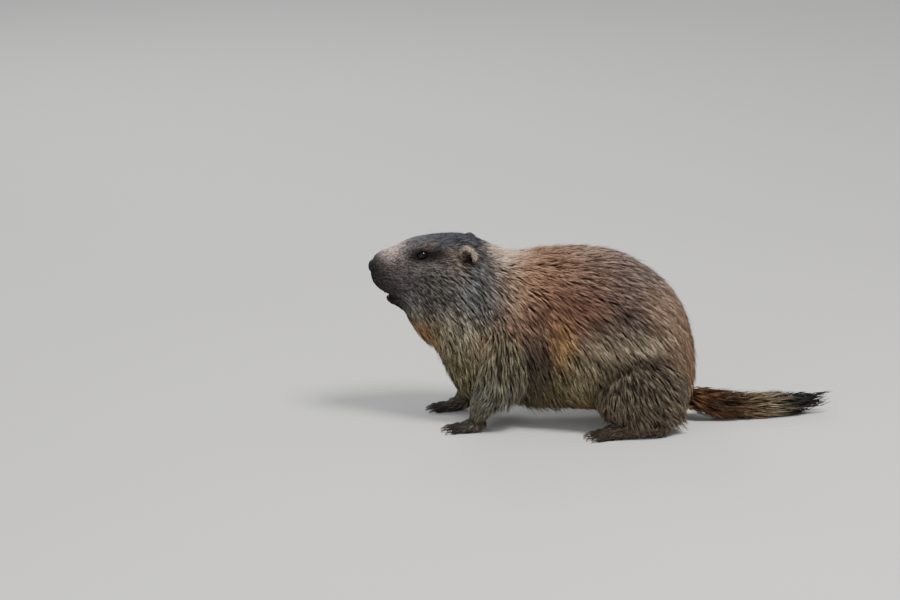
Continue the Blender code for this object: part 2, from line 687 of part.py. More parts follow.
def grow_tail_locks(core, outline, core_grid):
    """Staggered rings of locks along the tail, each lying back over the next."""
    locks = collection_named("tail_locks")
    random = np.random.default_rng(LOCK_SEED)
    depth = np.linalg.norm(outline - core_grid, axis=-1)
    grids = (outline, normals(outline), depth)
    rule = TAIL_LOCKS
    for row in range(rule["rows"]):
        along = rule["first"] + (rule["last"] - rule["first"]) * row / (rule["rows"] - 1)
        for k in range(rule["each"]):
            stray_along, stray_round = TAIL_LOCKS_STRAY
            place = along + random.uniform(-stray_along, stray_along)
            turn = (k + 0.5 * (row % 2) + random.uniform(-stray_round, stray_round)) / rule["each"]
            back = read_grid(outline, along + 0.02, turn) - read_grid(outline, along - 0.02, turn)
            length = rule["length"] * random.uniform(*LOCK_LENGTHS)
            lock(grids, (place, turn), back, length, rule["half_width"], random, locks)
    join_locks(core, locks)


def add_lids(head, tools):
    """Fuses a ball of lid round each eye's place, then opens the slit and the socket behind it."""
    for side, centre in mirrored_pair(EYE_CENTRE):
        lid = ellipsoid("lid_ball", centre, (LID_RADIUS,) * 3, tools, subdivisions=2)
        combine(head, [lid], "UNION")
        place = Matrix.Translation(centre) @ Matrix.Rotation(-EYE_TILT, 4, "Y")
        outer = sorted((0.0, side * 2 * LID_RADIUS))
        slit = prism("lid_slit", lens_outline(*EYE_SLIT), *outer, tools, place)
        socket = ellipsoid("eye_socket", centre, (EYE_RADIUS + CUT_CLEARANCE,) * 3, tools, subdivisions=2)
        combine(head, [slit, socket], "DIFFERENCE")


def add_nose(head, tools):
    """Fuses the bare nose pad to the muzzle's front and sinks both nostrils into it."""
    pad = ellipsoid("nose_pad", NOSE_PAD, NOSE_PAD_RADII, tools, subdivisions=2)
    combine(head, [pad], "UNION")
    for side, centre in mirrored_pair(NOSTRIL):
        turn = Matrix.Rotation(side * NOSTRIL_TURN, 4, "X")
        combine(head, [ellipsoid("nostril", centre, NOSTRIL_RADII, tools, turn, 2)], "DIFFERENCE")


def open_mouth(head, tools):
    """Cuts the slightly open mouth as a wedge that narrows to the corners of the mouth."""
    outline = (MOUTH_CORNER, MOUTH_LOWER_LIP, MOUTH_UPPER_LIP)
    wedge = prism("mouth", outline, -BODY_WIDTH / 2, BODY_WIDTH / 2, tools)
    combine(head, [wedge], "DIFFERENCE")


def make_incisors(head, parts, tools):
    """Two upper and two lower gnawing teeth, each set in a close socket in its jaw."""
    for jaw, (root, tip, spacing) in INCISORS.items():
        for side, word in ((-1, "left"), (1, "right")):
            y = side * spacing
            middle = ((root[0] + tip[0]) / 2 - INCISOR_BOW, (root[1] + tip[1]) / 2)
            line = tuple(
                ((x, y, z), (INCISOR_RADII[0] * share, INCISOR_RADII[1] * share))
                for (x, z), share in zip((root, middle, tip), INCISOR_TAPER)
            )
            tooth = loft(f"incisor_{jaw}_{word}", tooth_rings(line), parts)
            combine(head, [grown(tooth, tools)], "DIFFERENCE")
            finished(tooth, f"incisor_{jaw}_{word}", "tooth")


def tooth_rings(line, sides=8):
    """Level rings through the tooth's line, so that the tooth has a flat root and a flat biting edge."""
    angle = np.arange(sides) * 2 * math.pi / sides
    return [
        [(x + along * math.sin(a), y + across * math.cos(a), z) for a in angle]
        for (x, y, z), (across, along) in line
    ]


def make_head(source, parts, tools):
    head = add_object("head", source.data.copy(), parts)
    keep_side(head, *cut_plane(HEAD_CUT, -1))
    add_nose(head, tools)
    open_mouth(head, tools)
    add_lids(head, tools)
    make_incisors(head, parts, tools)
    for side, word in ((-1, "left"), (1, "right")):
        centre = Vector((EYE_CENTRE.x, side * EYE_CENTRE.y, EYE_CENTRE.z))
        eye = ellipsoid(f"eye_{word}", centre, (EYE_RADIUS,) * 3, parts, subdivisions=2)
        finished(eye, eye.name, "eye")
        make_ear(source, side, word, parts, tools)
    keep_largest(head)
    return finished(head, "head", "head_coat")


def make_ear(source, side, word, parts, tools):
    """A small round ear: an ellipsoid with a cup sunk into its outer face, cut clear of the trunk.

    The right ear is laid a little lower than the left.
    """
    turn = Matrix.Rotation(side * EAR_TURN, 4, "Z") @ Matrix.Rotation(side * EAR_LEAN, 4, "X")
    place = EAR_CENTRE + RIGHT_EAR_SHIFT if side > 0 else EAR_CENTRE
    centre = Vector((place.x, side * place.y, place.z))
    shift = Vector((EAR_CUP_SHIFT.x, side * EAR_CUP_SHIFT.y, EAR_CUP_SHIFT.z))
    ear = ellipsoid(f"ear_{word}", centre, EAR_RADII, parts, turn)
    cup = ellipsoid("ear_cup", centre + turn @ shift, EAR_CUP_RADII, tools, turn, 2)
    combine(ear, [cup, grown(source, tools)], "DIFFERENCE")
    keep_largest(ear)
    finished(ear, f"ear_{word}", "ear_coat")


def block_past(cut, side, tools):
    """A block that fills all that lies past a slanted cut, on the side that isn't kept."""
    point, normal = cut_plane(cut, side)
    along = Vector((-normal.z, 0.0, normal.x))
    corners = (point + along, point - along, point - along + normal, point + along + normal)
    outline = [(corner.x, corner.z) for corner in corners]
    return prism("past_cut", outline, -BODY_WIDTH, BODY_WIDTH, tools)


def make_neck_and_torso(parts, tools):
    """Parts the trunk behind the head into neck and torso, once all its locks are on."""
    coat = trunk("coat", tools, sunk=True)
    grow_trunk_locks(coat)
    neck = add_object("neck", coat.data.copy(), parts)
    ends = [block_past(HEAD_CUT, 1, tools), block_past(NECK_CUT, -1, tools)]
    combine(neck, ends, "DIFFERENCE", "MANIFOLD")
    torso = add_object("torso", coat.data.copy(), parts)
    combine(torso, [block_past(NECK_CUT, 1, tools)], "DIFFERENCE", "MANIFOLD")
    bpy.data.objects.remove(coat, do_unlink=True)
    for node in (neck, torso):
        keep_largest(node)
        finished(node, node.name, "body_coat")


def toe_line(base, heading, length):
    """A toe's arched middle line: from its root in the foot, over the knuckle and down to the pad."""
    away = Vector((-math.cos(heading), math.sin(heading), 0.0))
    start = base - away * TOE_ROOT
    knuckle = base + away * length * TOE_KNUCKLE_AT + Vector((0, 0, TOE_KNUCKLE_RISE))
    pad = base + away * length
    radii = [(TOE_RADIUS * share, TOE_RADIUS * share) for share in TOE_TAPER]
    return tuple(zip((tuple(start), tuple(knuckle), tuple(pad)), radii)), away


def claw_line(tip, away):
    """A claw's middle line: out of the toe's tip, curved down to just above the ground."""
    root = tip - away * CLAW_SUNK + Vector((0, 0, CLAW_RISE))
    middle = tip + away * (CLAW_LENGTH / 2) + Vector((0, 0, CLAW_RISE))
    point = tip + away * CLAW_LENGTH + Vector((0, 0, CLAW_TIP_HEIGHT - tip.z))
    radii = [(CLAW_RADIUS * share, CLAW_RADIUS * share) for share in CLAW_TAPER]
    return tuple(zip((tuple(root), tuple(middle), tuple(point)), radii))


def make_foot(name, sole, toes, anchor, side, splay, parts, tools):
    """A foot with its toes fused on and flattened on the ground, and one claw node set into each toe."""
    place = Matrix.Translation((anchor.x, side * anchor.y, 0.0)) @ Matrix.Rotation(-side * splay, 4, "Z")

    def placed(line):
        return tuple((tuple(place @ Vector((c[0], side * c[1], c[2]))), r) for c, r in line)

    foot = loft(name, tube_rings(domed(placed(sole)), 10, 8), parts)
    front = sole[-1][0][0]
    claws = []
    for word, (offset, degrees, length) in toes.items():
        base = Vector((front + TOE_SUNK, offset, TOE_RADIUS * TOE_HEIGHT))
        line, away = toe_line(base, math.radians(degrees), length)
        toe = loft("toe", tube_rings(domed(placed(line)), TOE_SIDES, 5), tools)
        combine(foot, [toe], "UNION")
        claw = placed(claw_line(base + away * length, away))
        claws.append(loft(f"claw_{name}_{word}", tube_rings(claw, 5, 4), parts))
    keep_side(foot, Vector((0, 0, 0)), Vector((0, 0, -1)))
    keep_largest(foot)
    for claw in claws:
        combine(claw, [grown(foot, tools)], "DIFFERENCE", "MANIFOLD")
        keep_largest(claw)
        finished(claw, claw.name, "claw")
    return finished(foot, name, "leg_coat")


def make_fore_limb(source, side, word, parts, tools):
    reach = RIGHT_FORE_REACH if side > 0 else 0.0
    inward = RIGHT_FORE_INWARD if side > 0 else 0.0
    points = []
    for index, (centre, radius) in enumerate(FORE_LIMB):
        share = index / (len(FORE_LIMB) - 1)
        points.append(((centre[0] + reach * share, side * (centre[1] + inward * share), centre[2]), radius))
    leg = loft(f"fore_leg_{word}", tube_rings(domed(points), 14, 11), parts)
    anchor = FORE_WRIST + Vector((reach, inward, 0.0))
    paw = make_foot(f"fore_paw_{word}", FORE_PALM, FORE_TOES, anchor, side, 0.0, parts, tools)
    combine(leg, [grown(source, tools), grown(paw, tools)], "DIFFERENCE", "MANIFOLD")
    keep_largest(leg)
    return finished(leg, f"fore_leg_{word}", "leg_coat")


def make_hind_limb(source, side, word, parts, tools):
    leg = loft(f"hind_leg_{word}", tube_rings(domed(on_side(HIND_SHANK, side)), 16, 10), parts)
    foot = make_foot(
        f"hind_foot_{word}", HIND_SOLE, HIND_TOES, HIND_HEEL, side, HIND_FOOT_SPLAY, parts, tools
    )
    combine(leg, [grown(source, tools), grown(foot, tools)], "DIFFERENCE", "MANIFOLD")
    keep_side(leg, Vector((0, 0, LEG_CLEARANCE)), Vector((0, 0, -1)))
    keep_largest(leg)
    return finished(leg, f"hind_leg_{word}", "leg_coat")


def make_tail(source, parts, tools):
    """The tail's core with its brush of locks, cut clear of the rump and flat where it lies on the ground."""
    core_line = tuple((centre, (r[0] * TAIL_CORE, r[1] * TAIL_CORE)) for centre, r in TAIL_LINE)
    tail = loft("tail", tube_rings(core_line, 10, 10), parts)
    rings, sides = TAIL_GRID
    grow_tail_locks(tail, tube_rings(TAIL_LINE, sides, rings), tube_rings(core_line, sides, rings))
    below = ((0.0, -1.0), (1.0, -1.0), (1.0, 0.0), (0.0, 0.0))
    under = prism("ground", below, -BODY_WIDTH, BODY_WIDTH, tools)
    combine(tail, [under, grown(source, tools)], "DIFFERENCE", "MANIFOLD")
    keep_largest(tail)
    return finished(tail, "tail", "tail_coat")


def main():
    clear_scene()
    parts = collection_named("alpine_marmot")
    tools = collection_named("cutters")
    outline = trunk("outline", tools)
    make_head(outline, parts, tools)
    make_neck_and_torso(parts, tools)
    for side, word in ((-1, "left"), (1, "right")):
        make_fore_limb(outline, side, word, parts, tools)
        make_hind_limb(outline, side, word, parts, tools)
    make_tail(outline, parts, tools)
    bpy.data.objects.remove(outline, do_unlink=True)


main()
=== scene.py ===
"""Dresses the alpine marmot: one skin, a coat of tufts, eyes, lids, nose, mouth, ears, whiskers and claws.

Metres, +Z up. The nose points along -X, the left flank faces -Y, and the ground is z = 0.
"""
import math

import bpy
import numpy as np
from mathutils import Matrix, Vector
from mathutils.bvhtree import BVHTree
from mathutils.kdtree import KDTree


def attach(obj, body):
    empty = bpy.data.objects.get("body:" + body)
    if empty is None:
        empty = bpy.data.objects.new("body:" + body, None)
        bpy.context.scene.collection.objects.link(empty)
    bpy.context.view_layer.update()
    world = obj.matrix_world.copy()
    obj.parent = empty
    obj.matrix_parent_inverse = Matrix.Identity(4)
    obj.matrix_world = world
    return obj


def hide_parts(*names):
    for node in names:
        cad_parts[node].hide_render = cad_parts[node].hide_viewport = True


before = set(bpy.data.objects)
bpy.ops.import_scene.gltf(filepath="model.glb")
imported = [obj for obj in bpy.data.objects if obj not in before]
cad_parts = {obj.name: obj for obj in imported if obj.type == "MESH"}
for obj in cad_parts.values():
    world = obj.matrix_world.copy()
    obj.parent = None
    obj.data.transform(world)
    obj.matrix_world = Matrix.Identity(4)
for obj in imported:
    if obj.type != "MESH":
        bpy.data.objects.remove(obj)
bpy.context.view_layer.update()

bl_info = {
    "name": "Alpine marmot",
    "version": (1, 0, 0),
    "blender": (4, 5, 0),
    "location": "3D View > Sidebar > Marmot",
    "description": "Builds a life-size crouching alpine marmot with its coat, and a plain studio stage",
    "category": "Add Mesh",
}

SIDES = ((-1, "left"), (1, "right"))

# Trunk: head, neck and torso are one lofted form. A place is a share of the body's length from nose to rump,
# a height is a share of the back's height, and a half width is a share of half the body's width.
BODY_LENGTH = 0.422
BACK_HEIGHT = 0.232
BODY_WIDTH = 0.182
ORIGIN_FROM_NOSE = 0.2965
TOP_LINE = (
    (0.000, 0.908), (0.006, 0.930), (0.017, 0.957), (0.037, 0.984), (0.076, 1.011), (0.111, 1.043),
    (0.154, 1.065), (0.230, 1.080), (0.301, 1.074), (0.348, 1.044), (0.389, 1.003), (0.438, 0.983),
    (0.509, 0.991), (0.585, 1.002), (0.687, 0.994), (0.745, 0.981), (0.803, 0.942), (0.863, 0.869),
    (0.922, 0.775), (0.951, 0.697), (0.981, 0.575), (0.993, 0.466), (1.000, 0.390),
)
BOTTOM_LINE = (
    (0.000, 0.880), (0.005, 0.849), (0.014, 0.810), (0.028, 0.780), (0.043, 0.746), (0.050, 0.716),
    (0.064, 0.690), (0.095, 0.661), (0.114, 0.634), (0.130, 0.586), (0.152, 0.545), (0.173, 0.503),
    (0.197, 0.483), (0.216, 0.440), (0.235, 0.360), (0.256, 0.276), (0.275, 0.216), (0.313, 0.164),
    (0.372, 0.129), (0.467, 0.108), (0.585, 0.095), (0.704, 0.086), (0.822, 0.078), (0.917, 0.069),
    (0.964, 0.086), (0.988, 0.147), (1.000, 0.240),
)
HALF_WIDTH = (
    (0.000, 0.080), (0.004, 0.118), (0.012, 0.166), (0.026, 0.208), (0.045, 0.238), (0.069, 0.272),
    (0.100, 0.318), (0.130, 0.370), (0.159, 0.424), (0.194, 0.484), (0.230, 0.540), (0.265, 0.582),
    (0.306, 0.608), (0.348, 0.626), (0.396, 0.662), (0.455, 0.725), (0.526, 0.813), (0.609, 0.901),
    (0.704, 0.967), (0.787, 0.989), (0.858, 0.950), (0.917, 0.835), (0.960, 0.637), (0.983, 0.462),
    (0.995, 0.286), (1.000, 0.140),
)
WIDEST_AT = (
    (0.000, 0.892), (0.028, 0.875), (0.064, 0.853), (0.111, 0.836), (0.168, 0.819), (0.230, 0.800),
    (0.301, 0.770), (0.348, 0.716), (0.396, 0.640), (0.455, 0.552), (0.526, 0.483), (0.609, 0.440),
    (0.704, 0.414), (0.787, 0.388), (0.858, 0.362), (0.917, 0.336), (1.000, 0.315),
)
BLUNTNESS_ABOVE = ((0.0, 2.2), (0.10, 2.5), (0.30, 2.5), (0.42, 2.2), (1.0, 2.1))
BLUNTNESS_BELOW = ((0.0, 2.2), (0.10, 2.3), (0.30, 2.1), (0.42, 2.2), (1.0, 2.3))

# How far the skin lies under the outline of the coat, by share of the trunk's length
COAT_DEPTH = (
    (0.00, 0.0008), (0.06, 0.0012), (0.12, 0.0018), (0.20, 0.0028), (0.28, 0.0036), (0.36, 0.0052),
    (0.45, 0.0060), (0.93, 0.0060), (1.00, 0.0050),
)

# The same for the fore limb from root to wrist, the hind shank, the soles and the toes, and the share of the
# tail's thickness that is skin
FORE_COAT = (0.0042, 0.0012)
HIND_COAT = 0.0040
SOLE_COAT = 0.0007
TOE_COAT = 0.0004
TAIL_CORE = 0.64

# The coat thins by a share round the eye
THIN_ROUND_EYE = 0.6
THIN_REACH = 0.014

# The skin's forms: points round the trunk, domed ends of its tubes, and easing of the joined shell
TRUNK_SIDES = 150
DOME_REACH = 0.55
DOME_RADIUS = 0.45
EASING_PASSES = 5
EASING_IN = 0.50
EASING_OUT = 0.52
SKIN_FLOOR = 0.0004
HAIR_FLOOR = 0.0003

# Swellings and hollows: centre (x, distance from the midline, z), reach and height
SWELLINGS = {
    "brow": ((-0.2270, 0.0330, 0.2415), 0.0110, 0.0030),
    "eye hollow": ((-0.2280, 0.0340, 0.2290), 0.0095, -0.0022),
    "whisker pad": ((-0.2810, 0.0180, 0.1930), 0.0110, 0.0030),
    "muzzle side": ((-0.2560, 0.0270, 0.2110), 0.0130, -0.0014),
    "cheekbone": ((-0.2180, 0.0400, 0.2080), 0.0120, 0.0012),
    "cheek": ((-0.1980, 0.0500, 0.1700), 0.0300, 0.0050),
    "throat fold": ((-0.2180, 0.0000, 0.1140), 0.0160, 0.0050),
    "nape hollow": ((-0.1280, 0.0000, 0.2340), 0.0200, -0.0020),
    "neck side": ((-0.1560, 0.0560, 0.1650), 0.0260, -0.0040),
    "shoulder": ((-0.1120, 0.0660, 0.1150), 0.0380, 0.0060),
    "flank hollow": ((-0.0500, 0.0820, 0.0700), 0.0300, -0.0050),
    "thigh crease": ((0.0480, 0.0900, 0.1060), 0.0120, -0.0030),
    "behind the nose": ((-0.2950, 0.0000, 0.2080), 0.0095, -0.0036),
    "under the nose": ((-0.2940, 0.0000, 0.1965), 0.0055, -0.0014),
}

# Head details
MOUTH_CORNER = (-0.2490, 0.1712)
UPPER_LIP_SLOPE = 0.262
LOWER_LIP_SLOPE = 0.196
MOUTH_DEPTH = 0.0085
MOUTH_EDGE = 0.0018
MOUTH_RUN = 0.016
LIP_HEART = -0.2600
LIP_FRONT = -0.2875
LIP_SUNK = 0.0009
LIP_RADIUS = 0.0007
EYE_CENTRE = (-0.2262, 0.0272, 0.2300)
EYE_OUTWARD = (-0.20, 0.955, 0.20)
EYE_TILT = math.radians(20)
EYE_OPENING = (0.0070, 0.0046)
NOSE_CENTRE = (-0.2888, 0.0, 0.2086)
NOSE_RADII = (0.0086, 0.0112, 0.0098)
NOSTRIL = (0.0058, 0.2062)
EAR_CENTRE = (-0.1660, 0.0445, 0.2345)
RIGHT_EAR_SHIFT = (0.0010, 0.0042, -0.0050)
EAR_TURN = math.radians(24)
EAR_LEAN = math.radians(-16)
EAR_PROFILE = (
    (0.04, -0.62), (0.45, -0.66), (0.80, -0.48), (0.98, -0.10), (1.02, 0.22), (0.96, 0.42),
    (0.86, 0.40), (0.74, 0.16), (0.50, -0.10), (0.20, -0.20), (0.03, -0.22),
)
EAR_RADII = (0.0100, 0.0056, 0.0108)
EAR_NOTCH = 0.10
EAR_DRAWN_UP = 0.06
EAR_BEND = 0.0012
WHISKER_ROWS = 5
WHISKER_FIRST = (-0.2800, 0.030, 0.2010)
WHISKER_APART = 0.0055
WHISKER_SLANT = 0.0012
WHISKER_ROW_APART = 0.0042
BROW_WHISKER = (-0.2380, 0.060, 0.2490)
WHISKER_RADIUS = 0.00030
WHISKER_SUNK = 0.0010
INCISORS = {
    "upper": ((-0.2738, 0.1850), (-0.2755, 0.1725), 0.0021),
    "lower": ((-0.2672, 0.1628), (-0.2704, 0.1696), 0.0018),
}

TOOTH_WIDE = 0.00180
TOOTH_DEEP = 0.00150
TOOTH_BOW = 0.0012
TOOTH_BEVEL = 0.72

# Limbs: each point is (x, distance from the midline, z) with the coat's radii across and along the limb
FORE_LIMB = (
    ((-0.1220, 0.0450, 0.1400), (0.0180, 0.0220)),
    ((-0.1170, 0.0520, 0.1160), (0.0225, 0.0285)),
    ((-0.1200, 0.0590, 0.0860), (0.0230, 0.0290)),
    ((-0.1330, 0.0590, 0.0600), (0.0195, 0.0240)),
    ((-0.1470, 0.0565, 0.0385), (0.0145, 0.0175)),
    ((-0.1545, 0.0535, 0.0210), (0.0105, 0.0115)),
    ((-0.1560, 0.0525, 0.0150), (0.0088, 0.0085)),
)
RIGHT_FORE_REACH = -0.0200
RIGHT_FORE_INWARD = -0.0060
FORE_WRIST = (-0.1560, 0.0525)
FORE_PALM = (
    ((0.0060, 0.0, 0.0125), (0.0090, 0.0085)),
    ((-0.0040, 0.0, 0.0092), (0.0110, 0.0092)),
    ((-0.0130, 0.0, 0.0064), (0.0122, 0.0074)),
    ((-0.0190, 0.0, 0.0046), (0.0104, 0.0052)),
)
FORE_TOES = {
    "inner": (-0.0078, -19, 0.0190),
    "second": (-0.0028, -6, 0.0225),
    "third": (0.0026, 6, 0.0220),
    "outer": (0.0078, 20, 0.0180),
}
HIND_SHANK = (
    ((0.1000, 0.0600, 0.0640), (0.0230, 0.0360)),
    ((0.0760, 0.0690, 0.0590), (0.0290, 0.0470)),
    ((0.0460, 0.0740, 0.0560), (0.0290, 0.0480)),
    ((0.0200, 0.0740, 0.0480), (0.0230, 0.0390)),
    ((0.0070, 0.0730, 0.0430), (0.0140, 0.0240)),
)
HIND_HEEL = (0.0800, 0.0760)
HIND_SOLE = (
    ((0.0060, 0.0, 0.0120), (0.0090, 0.0110)),
    ((-0.0120, 0.0, 0.0120), (0.0125, 0.0130)),
    ((-0.0420, 0.0, 0.0095), (0.0130, 0.0105)),
    ((-0.0640, 0.0, 0.0080), (0.0150, 0.0085)),
    ((-0.0730, 0.0, 0.0062), (0.0130, 0.0058)),
)
HIND_TOES = {
    "first": (-0.0102, -22, 0.0150),
    "second": (-0.0056, -10, 0.0195),
    "third": (-0.0004, 0, 0.0205),
    "fourth": (0.0050, 10, 0.0195),
    "fifth": (0.0100, 23, 0.0150),
}
HIND_FOOT_SPLAY = math.radians(7)
TOE_RADIUS = 0.0043
TOE_KNUCKLE_RISE = 0.0022
TOE_SUNK = 0.0040
TOE_ROOT = 0.0060
TOE_HEIGHT = 0.74
TOE_TAPER = (1.0, 0.95, 0.84)
CLAW_LENGTH = 0.0105
CLAW_RADIUS = 0.0017
CLAW_SUNK = 0.0032
TAIL_LINE = (
    ((0.0980, 0.0000, 0.0400), (0.0120, 0.0120)),
    ((0.1180, 0.0010, 0.0340), (0.0150, 0.0145)),
    ((0.1400, 0.0040, 0.0260), (0.0175, 0.0178)),
    ((0.1700, 0.0095, 0.0172), (0.0182, 0.0182)),
    ((0.2100, 0.0180, 0.0142), (0.0165, 0.0160)),
    ((0.2480, 0.0266, 0.0136), (0.0145, 0.0140)),
    ((0.2720, 0.0320, 0.0156), (0.0090, 0.0088)),
)

# Parts of the skin: kind, and its place on the unwrap as lowest corner and size
PARTS = {
    "trunk": ("trunk", (0.01, 0.01, 0.98, 0.55)),
    "tail": ("tail", (0.01, 0.58, 0.30, 0.18)),
    "fore_leg_left": ("fore leg", (0.33, 0.58, 0.16, 0.18)),
    "fore_leg_right": ("fore leg", (0.50, 0.58, 0.16, 0.18)),
    "hind_leg_left": ("hind leg", (0.67, 0.58, 0.15, 0.18)),
    "hind_leg_right": ("hind leg", (0.83, 0.58, 0.15, 0.18)),
    "fore_paw_left": ("paw", (0.01, 0.79, 0.23, 0.19)),
    "fore_paw_right": ("paw", (0.26, 0.79, 0.23, 0.19)),
    "hind_foot_left": ("foot", (0.51, 0.79, 0.23, 0.19)),
    "hind_foot_right": ("foot", (0.76, 0.79, 0.23, 0.19)),
}
KINDS = ("trunk", "tail", "fore leg", "hind leg", "paw", "foot")
TRUNK, TAIL, FORE_LEG, HIND_LEG, PAW, FOOT = range(len(KINDS))
EAR_FIELD = {"left": (0.01, 0.57, 0.14, 0.008), "right": (0.16, 0.57, 0.14, 0.008)}
EAR_TONES = {
    "rim": ((198, 182, 163), (106, 93, 81)), "cup": ((196, 180, 162), (80, 71, 63)),
    # painted shade: the hole tone darkens the hair at the bottom of the ear's cup
    "back": ((96, 94, 97), (36, 35, 37)), "hole": ((44, 38, 35), (12, 10, 9)),
}

